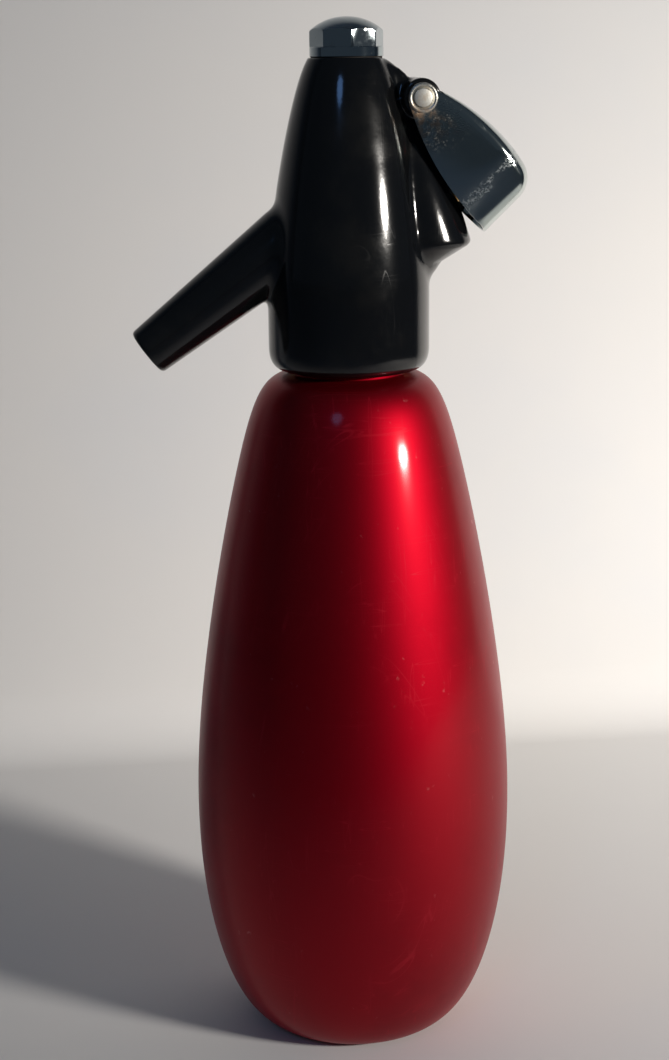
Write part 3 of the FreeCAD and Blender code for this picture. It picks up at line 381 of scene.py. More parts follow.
def add_bump(tree, shader, height, strength, distance):
    """Drive the shader's normal from a height."""
    bump = tree.nodes.new("ShaderNodeBump")
    bump.inputs["Strength"].default_value = strength
    bump.inputs["Distance"].default_value = distance
    tree.links.new(height, bump.inputs["Height"])
    tree.links.new(bump.outputs["Normal"], shader.inputs["Normal"])


# %% [markdown]
# ## Red anodised aluminium
# Anodising dyes the metal's own surface: the red is the colour of the mirror,
# not of a paint. So the finish is fully metallic, satin, and has a clear hard
# skin on top that gives the small sharp highlight.

# %% Finish: red anodised bottle
RED = (0.32, 0.002, 0.011)
red_anodised, tree, shader, coords = new_finish(
    "red_anodised", RED, METAL, 0.55, Coat_Weight=0.24, Coat_Roughness=0.12, Coat_IOR=1.5)
haze = effect(tree, blotches, coords, Scale=14.0, Cover=0.55)["Mask"]
dots = effect(tree, pits, coords, Scale=260.0, Cover=0.34)["Mask"]
rubs = effect(tree, scratches, coords, Scale=420.0, Amount=0.55)["Mask"]
hazed = colour_mix(tree, haze, RED, (0.27, 0.002, 0.010))
scuffed = colour_mix(tree, rubs, hazed, (0.46, 0.015, 0.03))
tree.links.new(colour_mix(tree, dots, scuffed, (0.50, 0.12, 0.13)), shader.inputs["Base Color"])
soft = value_mix(tree, haze, 0.53, 0.57)
tree.links.new(math_node(tree, "ADD", soft, math_node(tree, "MULTIPLY", rubs, 0.12)),
               shader.inputs["Roughness"])
add_bump(tree, shader, effect(tree, grain, coords, Scale=2200.0)["Height"], 0.12, 0.00005)
print("finish", red_anodised.name)

# %% [markdown]
# ## Glossy black moulding
# The head is moulded plastic with a hard gloss. Years of handling have left
# faint rubs on its belly, so the roughness changes while the colour hardly does.

# %% Finish: black head
BLACK = (0.0035, 0.0038, 0.0045)
black_moulding, tree, shader, coords = new_finish(
    "black_moulding", BLACK, NOT_METAL, 0.14, IOR=1.5)
handled = effect(tree, blotches, coords, Scale=38.0, Cover=0.62)["Mask"]
rubs = effect(tree, scratches, coords, Scale=520.0, Amount=0.4)["Mask"]
tree.links.new(colour_mix(tree, handled, BLACK, (0.007, 0.0068, 0.0065)),
               shader.inputs["Base Color"])
gloss = value_mix(tree, handled, 0.11, 0.18)
tree.links.new(math_node(tree, "ADD", gloss, math_node(tree, "MULTIPLY", rubs, 0.25)),
               shader.inputs["Roughness"])
add_bump(tree, shader, effect(tree, grain, coords, Scale=700.0)["Height"], 0.10, 0.0001)
print("finish", black_moulding.name)

# %% [markdown]
# ## Polished chrome on the cap
# The cap's plating stays bright, because fingers rub it clean. Chrome is a
# mirror with hardly a colour of its own, so its base colour here is darkened
# and tinted blue-green as a painted reflection of dark bluish surroundings.
# Smears and small dark specks make it look like metal. They change its
# roughness and its tint.

# %% Finish: polished chrome cap
# Darkened and tinted blue-green: a painted reflection of dark bluish surroundings, not the
# plating's own colour.
CHROME_WITH_PAINTED_REFLECTION = (0.36, 0.41, 0.43)
bright_chrome, tree, shader, coords = new_finish("bright_chrome", CHROME_WITH_PAINTED_REFLECTION, METAL, 0.07)
smears = effect(tree, blotches, coords, Scale=160.0, Cover=0.5)["Mask"]
specks = effect(tree, pits, coords, Scale=1400.0, Cover=0.45)["Mask"]
tree.links.new(colour_mix(tree, specks, CHROME_WITH_PAINTED_REFLECTION, (0.20, 0.17, 0.14)), shader.inputs["Base Color"])
tree.links.new(math_node(tree, "ADD", value_mix(tree, smears, 0.05, 0.12),
                         math_node(tree, "MULTIPLY", specks, 0.4)), shader.inputs["Roughness"])
print("finish", bright_chrome.name)

# %% [markdown]
# ## Worn chrome on the lever
# The lever is the piece that hands touch. Its plating is frosted and pitted in
# a band beside its end, grimy below the pin with pale flecks in the grime, and
# rusty just below the pin. The places are masks: distances from the pin's axis
# and from the heel, and depths past slanted planes. The plating's own colour is
# darkened and tinted blue-green, a painted reflection of dark bluish surroundings.

# %% Places on the lever
PIN_X, PIN_Z = 23.3, 328.8
SHOULDER, HEEL, TOE = (56.3, 305.2), (55.3, 298.3), (43.2, 287.4)
PIVOT = Vector((PIN_X, 0.0, PIN_Z)) * MM
HEEL_POINT = Vector((HEEL[0], 0.0, HEEL[1])) * MM
END_WAY = Vector((0.67, 0.0, -0.743))  # square to the lever's end, outwards
UNDER_PIN = Vector((-0.45, 0.0, -0.89))


def vector_node(tree, operation, first, second=(0.0, 0.0, 0.0)):
    """A Vector Math node on a socket and a fixed vector; returns its outputs."""
    node = tree.nodes.new("ShaderNodeVectorMath")
    node.operation = operation
    tree.links.new(first, node.inputs[0])
    node.inputs[1].default_value = second
    return node.outputs


def distance_from(tree, coords, centre):
    """Distance from an axis along Y through a point."""
    shift = vector_node(tree, "SUBTRACT", coords, centre)["Vector"]
    flat = vector_node(tree, "MULTIPLY", shift, (1.0, 0.0, 1.0))["Vector"]
    return vector_node(tree, "LENGTH", flat)["Value"]


def beyond_line(tree, coords, point, direction):
    """Signed distance past a slanted plane."""
    shift = vector_node(tree, "SUBTRACT", coords, point)["Vector"]
    return vector_node(tree, "DOT_PRODUCT", shift, direction)["Value"]


# %% Masks on the lever
# Darkened and tinted blue-green: a painted reflection of dark bluish surroundings, not the
# plating's own colour.
PLATING_WITH_PAINTED_REFLECTION = (0.43, 0.48, 0.47)
worn_chrome, tree, shader, coords = new_finish("worn_chrome", PLATING_WITH_PAINTED_REFLECTION, METAL, 0.12)
reach = distance_from(tree, coords, PIVOT)
depth = beyond_line(tree, coords, HEEL_POINT, END_WAY)
near_pin = ramp_node(tree, reach, 21 * MM, 7 * MM)
below_pin = ramp_node(tree, beyond_line(tree, coords, PIVOT, UNDER_PIN), 0.0, 4 * MM)
off_heel = ramp_node(tree, distance_from(tree, coords, HEEL_POINT), 6.5 * MM, 10 * MM)
low_band = math_node(tree, "MULTIPLY", ramp_node(tree, depth, -13 * MM, -9.5 * MM),
                     ramp_node(tree, depth, -4.5 * MM, -8 * MM))
rubbed = ramp_node(tree, reach, 5.2 * MM, 4.8 * MM)  # the raised ring round the pin
spots = effect(tree, pits, coords, Scale=1500.0, Cover=1.05)["Mask"]
grit = effect(tree, pits, coords, Scale=1100.0, Cover=0.75)["Mask"]
fine = effect(tree, blotches, coords, Scale=900.0, Cover=0.62)["Mask"]
cloudy = effect(tree, blotches, coords, Scale=330.0, Cover=0.75)["Mask"]
rubs = effect(tree, scratches, coords, Scale=600.0, Amount=0.8)["Mask"]
frosted = math_node(tree, "MAXIMUM", math_node(tree, "MULTIPLY", spots, 0.7), fine)
pitted = math_node(tree, "MULTIPLY", low_band, off_heel, frosted)
grime = math_node(tree, "MULTIPLY", near_pin, cloudy, below_pin)
flecks = math_node(tree, "MULTIPLY", grime, grit)
rust = math_node(tree, "MULTIPLY", ramp_node(tree, reach, 8.2 * MM, 5 * MM), cloudy, below_pin,
                 value_mix(tree, fine, 0.6, 1.0))
print("mask nodes on the lever:", len(tree.nodes))

# %% Finish: worn chrome lever
plated = colour_mix(tree, pitted, PLATING_WITH_PAINTED_REFLECTION, (0.54, 0.58, 0.59))
dirty = colour_mix(tree, grime, plated, (0.13, 0.105, 0.09))
bare = colour_mix(tree, rubbed, dirty, (0.62, 0.60, 0.54))
chalky = colour_mix(tree, flecks, bare, (0.26, 0.24, 0.20))
tree.links.new(colour_mix(tree, rust, chalky, (0.37, 0.23, 0.13)), shader.inputs["Base Color"])
not_metal = math_node(tree, "MULTIPLY", math_node(tree, "MAXIMUM", rust, flecks), 0.8)
tree.links.new(math_node(tree, "SUBTRACT", 1.0, not_metal), shader.inputs["Metallic"])
rough = math_node(tree, "ADD", 0.09, math_node(tree, "MULTIPLY", pitted, 0.30),
                  math_node(tree, "MULTIPLY", rubs, 0.10), math_node(tree, "MULTIPLY", grime, 0.28))
rough = math_node(tree, "MAXIMUM", rough, math_node(tree, "MULTIPLY", rubbed, 0.36),
                  math_node(tree, "MULTIPLY", rust, 0.75))
tree.links.new(rough, shader.inputs["Roughness"])
worn_spots = math_node(tree, "MAXIMUM", pitted, math_node(tree, "MULTIPLY", near_pin, spots))
add_bump(tree, shader, math_node(tree, "MULTIPLY", worn_spots, -1.0), 0.35, 0.0001)
print("finish", worn_chrome.name)


# %% [markdown]
# ## Inner finishes
# Brass, steel, rubber and plastics come into view when the siphon is taken
# apart. Only the steel of the lever's pin and the rubber of the base pad show
# before that. They share one recipe: blotches in the colour, a roughness that
# follows them, fine scratches and a grain.

# %% Helper: a plain stock finish
def stock_finish(name, light, dark, metallic, smooth, rough, scale=120.0, grit=0.15):
    """A finish for stock material, varied between two colours."""
    material, tree, shader, coords = new_finish(name, light, metallic, smooth)
    stain = effect(tree, blotches, coords, Scale=scale, Cover=0.6)["Mask"]
    marks = effect(tree, scratches, coords, Scale=scale * 4.0, Amount=0.7)["Mask"]
    tree.links.new(colour_mix(tree, stain, light, dark), shader.inputs["Base Color"])
    tree.links.new(math_node(tree, "ADD", value_mix(tree, stain, smooth, rough),
                             math_node(tree, "MULTIPLY", marks, 0.1)), shader.inputs["Roughness"])
    add_bump(tree, shader, effect(tree, grain, coords, Scale=scale * 10.0)["Height"], grit, 0.0001)
    print("finish", name)
    return material


# %% Inner finishes
turned_brass = stock_finish("turned_brass", (0.72, 0.49, 0.19), (0.48, 0.30, 0.11), METAL,
                            smooth=0.22, rough=0.42)
bare_steel = stock_finish("bare_steel", (0.56, 0.55, 0.53), (0.36, 0.34, 0.31), METAL,
                          smooth=0.28, rough=0.5)
drawn_steel = stock_finish("drawn_steel", (0.60, 0.61, 0.62), (0.45, 0.45, 0.45), METAL,
                           smooth=0.2, rough=0.38)
dull_steel = stock_finish("dull_steel", (0.68, 0.67, 0.62), (0.52, 0.47, 0.40), METAL,
                          smooth=0.5, rough=0.62, scale=260.0, grit=0.3)
black_rubber = stock_finish("black_rubber", (0.022, 0.022, 0.023), (0.04, 0.039, 0.037), NOT_METAL,
                            smooth=0.6, rough=0.85, grit=0.4)
milky_plastic = stock_finish("milky_plastic", (0.72, 0.71, 0.66), (0.60, 0.57, 0.50), NOT_METAL,
                             smooth=0.35, rough=0.5, scale=60.0)
black_nylon = stock_finish("black_nylon", (0.02, 0.02, 0.021), (0.035, 0.034, 0.033), NOT_METAL,
                           smooth=0.38, rough=0.55)
pressed_fibre = stock_finish("pressed_fibre", (0.03, 0.022, 0.018), (0.02, 0.015, 0.013), NOT_METAL,
                             smooth=0.7, rough=0.9, scale=300.0, grit=0.5)

# %% [markdown]
# ## The bottle
# The bottle is drawn from one disc of aluminium, so its outline is a single
# smooth line from heel to neck. It is turned from that line together with its
# thin inner wall and the thick neck, because the neck is open once the head
# is taken off.

# %% Bottle: outline and skin
OUTER = [(30.0, 0.6), (38.0, 0.6), (52.0, 21.0), (60.2, 100.0), (36.0, 226.0), (29.0, 237.5),
         (19.5, 238.2)]
INNER = [(16.5, 236.4), (26.5, 235.6), (34.0, 225.4), (59.0, 100.0), (50.9, 22.0), (37.4, 5.4),
         (0.0, 5.4)]
NECK_RADIUS = 18.9
recess = [(0.0, 3.7), (28.35, 3.7), (28.35, 0.75), (28.6, 0.6)]
neck = [(19.3, 238.3), (NECK_RADIUS, 239.0), (NECK_RADIUS, 260.6), (18.3, 261.8), (17.2, 262.0),
        (16.5, 261.4)]
outline = (recess + smooth_line(OUTER, resolution=22)[:-1] + neck
           + smooth_line(INNER, resolution=12))
finished("bottle_body", turned(outline, steps=160), "bottle", "anodised_red", red_anodised,
         "bottle")
print("bottle outline:", len(outline), "points")

# %% [markdown]
# ## A thread
# A thread is a small ridge carried round and up at the same time. The spin
# operator has a step along its axis for this, so one small face and one spin
# make the whole ridge.


# %% Helper: cut a thread as a ridge
def thread(radius, crest, foot, pitch, turns, steps=40):
    """A ridge that winds up from a height, rooted a little inside a radius."""
    work = bmesh.new()
    root = radius - 0.15
    section = ((root, 0.0), (radius + crest, 0.33), (radius + crest, 0.45), (root, 0.78))
    face = work.faces.new([work.verts.new((r * MM, 0, (foot + pitch * share) * MM))
                           for r, share in section])
    rise = pitch * MM / steps
    bmesh.ops.spin(work, geom=[face], cent=(0, 0, 0), axis=(0, 0, 1), dvec=(0, 0, rise),
                   angle=math.tau * turns, steps=int(steps * turns), use_duplicate=False)
    bmesh.ops.remove_doubles(work, verts=work.verts, dist=SAME_SPOT)
    bmesh.ops.recalc_face_normals(work, faces=work.faces)
    return work


# %% Bottle: neck thread
finished("bottle_neck_thread", thread(NECK_RADIUS, crest=0.55, foot=243.0, pitch=2.5, turns=6.2),
         "bottle", "anodised_red", red_anodised)

# %% [markdown]
# ## The base pad
# A rubber disc fills the recess under the bottle. It stands a little proud, so
# that the metal never touches the table.

# %% Base pad
pad_outline = [(0.0, 0.0), (18.5, 0.0), (18.9, 1.0), (21.1, 1.0), (21.5, 0.0), (27.8, 0.0),
               (28.3, 0.5), (28.3, 3.55), (0.0, 3.55)]
finished("base_pad_rubber", turned(pad_outline, steps=96), "bottle", "base_rubber", black_rubber,
         "base_pad")

# %% [markdown]
# ## The head, piece by piece
# The head is one moulding, but it is easiest to think of as five simple
# forms: the cone with its collar, the spout, the bracket's web, the knuckle
# that holds the lever's pin, and the rounded housing of the valve. Each is
# made closed, with its own edges rounded already.

# %% Head: cone and collar
cone_line = [(0.0, 341.6), (12.2, 341.6), (12.6, 341.5), (12.9, 341.1)]
cone_line += smooth_line([(12.95, 340.9), (18.9, 331.0), (27.2, 285.5), (27.2, 265.0)],
                         resolution=20)[1:]
cone_line += [(27.2, 258.0), (27.2, 251.0)]
cone_line += smooth_line([(27.2, 246.5), (27.1, 242.6), (25.6, 240.2), (23.2, 239.85)],
                         resolution=8)
cone_line += [(22.4, 239.8), (0.0, 239.8)]
head_cone = turned(cone_line, steps=192)
print("cone outline:", len(cone_line), "points")

# %% Head: spout
SPOUT_TIP = Vector((-68.2, 0.0, 246.5)) * MM
SPOUT_SLOPE = 36.8
SPOUT_LENGTH = 70
head_spout = bmesh.new()
bmesh.ops.create_cone(head_spout, cap_ends=True, segments=128, radius1=8.3 * MM,
                      radius2=12.6 * MM, depth=SPOUT_LENGTH * MM)
bmesh.ops.translate(head_spout, verts=head_spout.verts, vec=(0, 0, SPOUT_LENGTH / 2 * MM))
ease(head_spout, 1.3, segments=5, test=lambda edge: all(v.co.z < 1 * MM for v in edge.verts))
spout_turn = Matrix.Rotation(math.radians(90.0 - SPOUT_SLOPE), 4, "Y")
bmesh.ops.transform(head_spout, matrix=Matrix.Translation(SPOUT_TIP) @ spout_turn,
                    verts=head_spout.verts)
print("spout faces:", len(head_spout.faces))


# %% Helper: put an upright piece on the lever's pin
def onto_pin(work, turn=90.0):
    """Lay a piece along the pin; the sign of the turn says which way it faces."""
    bmesh.ops.rotate(work, verts=work.verts, cent=(0, 0, 0),
                     matrix=Matrix.Rotation(math.radians(turn), 3, "X"))
    bmesh.ops.translate(work, verts=work.verts, vec=PIVOT)
    return work


# %% Head: web and knuckle
WEB_HALF = 6
head_web = bmesh.new()
side_view = [(2.0, 340.6), (13.6, 340.6), (20.8, 334.5), (24.0, PIN_Z), (22.3, 313.0), (2.0, 313.0)]
web_face = head_web.faces.new([head_web.verts.new((x * MM, -WEB_HALF * MM, z * MM))
                               for x, z in side_view])
drawn = bmesh.ops.extrude_face_region(head_web, geom=[web_face])
moved = [v for v in drawn["geom"] if isinstance(v, bmesh.types.BMVert)]
bmesh.ops.translate(head_web, verts=moved, vec=(0, 2 * WEB_HALF * MM, 0))
bmesh.ops.recalc_face_normals(head_web, faces=head_web.faces)
ease(head_web, 1.6, segments=5, angle=60.0)
head_knuckle = bmesh.new()
bmesh.ops.create_cone(head_knuckle, cap_ends=True, segments=96, radius1=6.2 * MM,
                      radius2=6.2 * MM, depth=22 * MM)
ease(head_knuckle, 0.9, segments=4, angle=60.0)
onto_pin(head_knuckle)
print("web and knuckle:", len(head_web.faces), len(head_knuckle.faces))

# %% [markdown]
# The valve housing swells downwards and ends in a lip. It is a stack of rings
# with the spaces between them bridged. The centre and the radius of each ring
# are read from two smooth lines, so that the swelling has no kinks.

# %% Head: valve housing
swell = smooth_line([(4.5, 330.0), (7.6, 318.5), (13.4, 303.0), (15.2, 290.0), (15.6, 281.6)],
                    resolution=10)
lean = smooth_line([(18.0, 330.0), (19.3, 318.5), (21.0, 303.0), (23.6, 290.0), (25.9, 281.6)],
                   resolution=10)
rings = [(x, r, z) for (r, z), (x, _) in zip(swell, lean)]
rings += [(25.2, 15.2, 280.4), (20.0, 11.5, 275.0), (17.5, 9.7, 268.5)]
head_housing = bmesh.new()
loops = []
for x, r, z in rings:
    hoop = bmesh.ops.create_circle(head_housing, segments=96, radius=r * MM)
    bmesh.ops.translate(head_housing, verts=hoop["verts"], vec=(x * MM, 0, z * MM))
    loops.append(list({e for v in hoop["verts"] for e in v.link_edges}))
for lower, upper in zip(loops, loops[1:]):
    bmesh.ops.bridge_loops(head_housing, edges=lower + upper)
bmesh.ops.holes_fill(head_housing, edges=head_housing.edges, sides=0)
bmesh.ops.recalc_face_normals(head_housing, faces=head_housing.faces)
# The rings below the lip taper back into the cone, so their edges stay.
ease(head_housing, 0.9, segments=4, angle=25.0, test=lambda edge: edge.verts[0].co.z > 279 * MM)
print("housing rings:", len(rings))

# %% [markdown]
# ## One skin over the five forms
# Voxel remeshing melts overlapping closed forms into one skin. That skin is
# rough, so it is corrected: away from the joins each point is put back on the
# form that it came from, and near the joins the skin is smoothed, which leaves
# the soft hollow fillets that a mould has.


# %% Helper: a modifier's result as a mesh
def applied(work, *settings):
    """Run modifiers over a working mesh and return the result as a new one."""
    mesh = bpy.data.meshes.new("work")
    work.to_mesh(mesh)
    work.free()
    holder = placed("work", mesh)
    for kind, values in settings:
        modifier = holder.modifiers.new(kind.lower(), kind)
        for label, value in values.items():
            setattr(modifier, label, value)
    bpy.context.view_layer.update()
    made = bpy.data.meshes.new_from_object(
        holder.evaluated_get(bpy.context.evaluated_depsgraph_get()))
    result = bmesh.new()
    result.from_mesh(made)
    bpy.data.objects.remove(holder)
    for spent in (mesh, made):
        bpy.data.meshes.remove(spent)
    return result


# %% Head: melt the forms together
forms = [head_cone, head_spout, head_web, head_knuckle, head_housing]
form_trees = [BVHTree.FromBMesh(form) for form in forms]
joined = bmesh.new()
for form in forms:
    spare = bpy.data.meshes.new("form")
    form.to_mesh(spare)
    joined.from_mesh(spare)
    bpy.data.meshes.remove(spare)
    form.free()
voxel = 0.6 * MM
head_skin = applied(joined, ("REMESH", {"mode": "VOXEL", "voxel_size": voxel}))
print("melted skin:", len(head_skin.faces), "faces")

# %% Head: put points back and soften the joins
FILLET = 2.4 * MM
SMOOTHING_ROUNDS = 40


def settle(skin):
    """Snap each free point to its form and return the points near a join."""
    near_join = []
    for point in skin.verts:
        found = []
        for form_tree in form_trees:
            nearest, _, _, gap = form_tree.find_nearest(point.co, 3 * FILLET)
            if nearest is not None:
                found.append((gap, nearest))
        found.sort(key=lambda pair: pair[0])
        if len(found) > 1 and found[1][0] < FILLET:
            near_join.append(point)
        elif found:
            point.co = found[0][1]
    return near_join


join_points = settle(head_skin)
for _ in range(SMOOTHING_ROUNDS):
    bmesh.ops.smooth_vert(head_skin, verts=join_points, factor=0.5, use_axis_x=True,
                          use_axis_y=True, use_axis_z=True)
print("points in the fillets:", len(join_points))

# %% [markdown]
# ## Bores in the head
# The bores are cut after the melting, so that their edges stay crisp. Each
# cutter is a plain cylinder, and all of them go through one Boolean.


# %% Helper: a cutter and the cut
def rod(radius, start, end, segments=64):
    """A closed cylinder from one point to another, in millimetres."""
    start, end = Vector(start) * MM, Vector(end) * MM
    work = bmesh.new()
    bmesh.ops.create_cone(work, cap_ends=True, segments=segments, radius1=radius * MM,
                          radius2=radius * MM, depth=(end - start).length)
    turn = (end - start).to_track_quat("Z", "Y").to_matrix().to_4x4()
    bmesh.ops.transform(work, matrix=Matrix.Translation((start + end) / 2) @ turn,
                        verts=work.verts)
    return work


def cut_away(work, *cutters):
    """Take the cutters out of a working mesh."""
    group = bpy.data.collections.new("cutters")
    for cutter in cutters:
        mesh = bpy.data.meshes.new("cutter")
        cutter.to_mesh(mesh)
        cutter.free()
        group.objects.link(bpy.data.objects.new("cutter", mesh))
    result = applied(work, ("BOOLEAN", {"operation": "DIFFERENCE", "solver": "EXACT",
                                        "operand_type": "COLLECTION", "collection": group}))
    for spent in list(group.objects):
        bpy.data.objects.remove(spent)
    bpy.data.collections.remove(group)
    return result


# %% Head: cut the bores
VALVE_SLOPE = 22.0


def uphill(slope):
    """The way up a slope that rises to the right, in degrees."""
    return Vector((math.cos(math.radians(slope)), 0, math.sin(math.radians(slope))))


spout_way, valve_way = uphill(SPOUT_SLOPE), uphill(VALVE_SLOPE)
tip = SPOUT_TIP / MM
valve_mouth = Vector((34.8, 0.0, 300.0))
neck_room = rod(22.05, (0, 0, 230), (0, 0, 264), 128)
charger_room = rod(11.75, (0, 0, 300), (0, 0, 350), 96)
outlet = rod(4.5, tip - spout_way * 4, tip + spout_way * 16)
gallery = rod(3.2, tip + spout_way * 15, tip + spout_way * 48)
valve_bore = rod(6.25, valve_mouth - valve_way * 12, valve_mouth + valve_way * 20)
head_skin = cut_away(head_skin, neck_room, charger_room, outlet, gallery, valve_bore)
finished("head_moulding", head_skin, "head", "head_plastic", black_moulding, "head_body",
         keep_sharp=50.0)

# %% [markdown]
# ## The cap
# The cap is turned like a dome, and then eight flats are cut on it so that
# fingers get a grip. Below the flats a round band is left. Cutting a working
# mesh with a plane and filling the hole makes each flat. Even slight turns are
# kept sharp in the shading, so that each flat mirrors like a flat.


# %% Helper: all of a working mesh
def everything(work):
    """Its points, edges and faces in one list, as the cutting plane wants them."""
    return work.verts[:] + work.edges[:] + work.faces[:]


# %% Cap: dome with eight flats
CAP_FLATS = 8
CAP_RADIUS = 12.1
CAP_FOOT, CAP_TOP = 345.0, 354.5
dome = [(0.0, CAP_FOOT), (CAP_RADIUS, CAP_FOOT), (CAP_RADIUS, 349.6)]
dome += smooth_line([(CAP_RADIUS, 349.9), (10.4, 351.7), (6.2, CAP_TOP), (0.0, CAP_TOP)],
                    resolution=10)[1:]
cap_top = turned(dome, steps=128)
for flat in range(CAP_FLATS):
    angle = math.tau * (flat + 0.5) / CAP_FLATS
    outward = Vector((math.cos(angle), math.sin(angle), 0.0))
    cut = bmesh.ops.bisect_plane(cap_top, geom=everything(cap_top), plane_no=outward,
                                 plane_co=outward * CAP_RADIUS * MM * math.cos(math.pi / CAP_FLATS),
                                 clear_outer=True)
    rim = [e for e in cut["geom_cut"] if isinstance(e, bmesh.types.BMEdge)]
    bmesh.ops.contextual_create(cap_top, geom=rim)
bmesh.ops.recalc_face_normals(cap_top, faces=cap_top.faces)
ease(cap_top, 0.35, segments=3, angle=14.0)
finished("cap_dome", cap_top, "cap", "cap_chrome", bright_chrome, keep_sharp=8.0)

# %% Cap: band, skirt and thread
SKIRT_RADIUS = 10.3
band = [(9.7, 334.2), (SKIRT_RADIUS, 334.2), (SKIRT_RADIUS, 341.8), (11.9, 341.8),
        (CAP_RADIUS, 342.0), (CAP_RADIUS, 344.8), (11.9, CAP_FOOT), (9.7, CAP_FOOT)]
finished("cap_band", turned(band), "cap", "cap_chrome", bright_chrome, "charger_cap")
finished("cap_thread", thread(SKIRT_RADIUS, crest=0.4, foot=334.6, pitch=1.5, turns=4.0), "cap",
         "cap_chrome", bright_chrome)

# %% [markdown]
# ## The lever
# The lever is pressed from sheet: two flat sides and a back that bows out
# between them. It starts as the outline seen from the side. The outline is
# drawn across in steps, and its middle is pushed out. Extruding a face that
# stands alone leaves the old one behind, so each step deletes it, or it would
# stay as a wall inside. Then the long edges are rounded, the open front is
# removed, the sides are drawn in towards the end, and what is left is given
# the sheet's thickness.


# %% Helper: points on an arc
def arc(start, end, radius, count):
    """Points of an arc that bulges to the left of the way from start to end."""
    start, end = Vector(start), Vector(end)
    chord = end - start
    left = Vector((-chord.y, chord.x)).normalized()
    centre = (start + end) / 2 - left * math.sqrt(radius ** 2 - chord.length_squared / 4)
    first = math.atan2(start.y - centre.y, start.x - centre.x)
    swing = 2 * math.asin(chord.length / (2 * radius))
    return [(centre.x + radius * math.cos(first - swing * step / count),
             centre.y + radius * math.sin(first - swing * step / count))
            for step in range(count + 1)]


# %% Helper: the lever's outline
BACK_STEPS, CORNER_STEPS, END_STEPS, FRONT_STEPS = 16, 8, 6, 16


def straight(start, end, count):
    """Points at even steps from start to end."""
    return [(start[0] + (end[0] - start[0]) * t / count, start[1] + (end[1] - start[1]) * t / count)
            for t in range(count + 1)]


def lever_outline(shoulder, heel, toe, back_radius, corner_radius):
    """Round the ear, down the back, round the heel, along the end and up the front."""
    runs = [arc(ear_points[-1], shoulder, back_radius, BACK_STEPS),
            arc(shoulder, heel, corner_radius, CORNER_STEPS), straight(heel, toe, END_STEPS),
            arc(toe, ear_points[0], 90.0, FRONT_STEPS)[:-1]]
    return ear_points + [point for run in runs for point in run[1:]]


# %% Lever: outlines at its sides and in its middle
EAR = 4.8
ear_points = [(PIN_X + EAR * math.cos(math.radians(a)), PIN_Z + EAR * math.sin(math.radians(a)))
              for a in range(192, 41, -10)]
side_outline = lever_outline(SHOULDER, HEEL, TOE, back_radius=71.0, corner_radius=5.5)
middle_outline = lever_outline((59.0, 306.9), (57.4, 295.3), (46.1, 284.3),
                               back_radius=65.0, corner_radius=9.3)
back_from = len(ear_points) - 1
end_to = back_from + BACK_STEPS + CORNER_STEPS + END_STEPS
print("lever outline:", len(side_outline), "points")

# %% Lever: draw it across and bow the back
HALF = 12.5
lever = bmesh.new()
start_face = lever.faces.new([lever.verts.new((x * MM, -HALF * MM, z * MM))
                              for x, z in side_outline])
lever_rank = lever.verts.layers.int.new("rank")
lever.verts.ensure_lookup_table()
for index, point in enumerate(lever.verts):
    point[lever_rank] = index  # its number in the outline, which extruding hands on
face = start_face
for y in (-7.4, -5.8, -4.0, -2.0, 0.0, 2.0, 4.0, 5.8, 7.4, HALF):
    grown = bmesh.ops.extrude_face_region(lever, geom=[face])
    if face is not start_face and face.is_valid:
        bmesh.ops.delete(lever, geom=[face], context="FACES_ONLY")
    face = next(f for f in grown["geom"] if isinstance(f, bmesh.types.BMFace))
    share = 1.0 - (y / HALF) ** 2
    for point in face.verts:
        low, high = side_outline[point[lever_rank]], middle_outline[point[lever_rank]]
        point.co = Vector((low[0] + (high[0] - low[0]) * share, y,
                           low[1] + (high[1] - low[1]) * share)) * MM
print("lever body:", len(lever.faces), "faces")

# %% Lever: round the long edges and open the front
FRONT_WAY = Vector((-0.83, 0.0, -0.4))  # roughly the way that the open front faces
bmesh.ops.recalc_face_normals(lever, faces=lever.faces)
outer = [e for e in lever.edges if abs(abs(e.verts[0].co.y) - HALF * MM) < SAME_SPOT
         and abs(e.verts[0].co.y - e.verts[1].co.y) < SAME_SPOT
         and all(back_from <= v[lever_rank] <= end_to for v in e.verts)]
# A profile over 0.5 is a little squarer than an arc, as a pressed edge is.
bmesh.ops.bevel(lever, geom=outer, offset=3.6 * MM, offset_type="OFFSET", segments=10, profile=0.66,
                affect="EDGES", material=-1)
facing = [f for f in lever.faces if f.normal.dot(FRONT_WAY) > 0.25
          and abs(f.normal.y) < 0.5 and f.calc_center_median().x < 47 * MM]
bmesh.ops.delete(lever, geom=facing, context="FACES")
print("rounded edges:", len(outer), "and front faces removed:", len(facing))

# %% [markdown]
# A long flat face can't bend, so the sides are cut across at several depths
# before they are drawn in. The cuts leave rows of points that can move.

# %% Lever: draw the sides in and give the sheet its thickness
DRAWN_IN = 0.15  # share of the width that is lost at the end
DRAWN_FROM = 15.0
for depth_in in (18.0, 15.0, 12.5, 10.0, 7.5, 5.5, 4.0):
    bmesh.ops.bisect_plane(lever, geom=everything(lever), plane_no=END_WAY,
                           plane_co=HEEL_POINT - END_WAY * depth_in * MM)
for point in lever.verts:
    past_heel = (point.co - HEEL_POINT).dot(END_WAY)
    near_end = min(max(1.0 + past_heel / (DRAWN_FROM * MM), 0.0), 1.0)
    point.co.y *= 1.0 - DRAWN_IN * near_end ** 2 * (3.0 - 2.0 * near_end)
lever = applied(lever, ("SOLIDIFY", {"thickness": 1.0 * MM, "offset": -1.0,
                                     "use_even_offset": True}))
print("lever shell:", len(lever.faces), "faces")

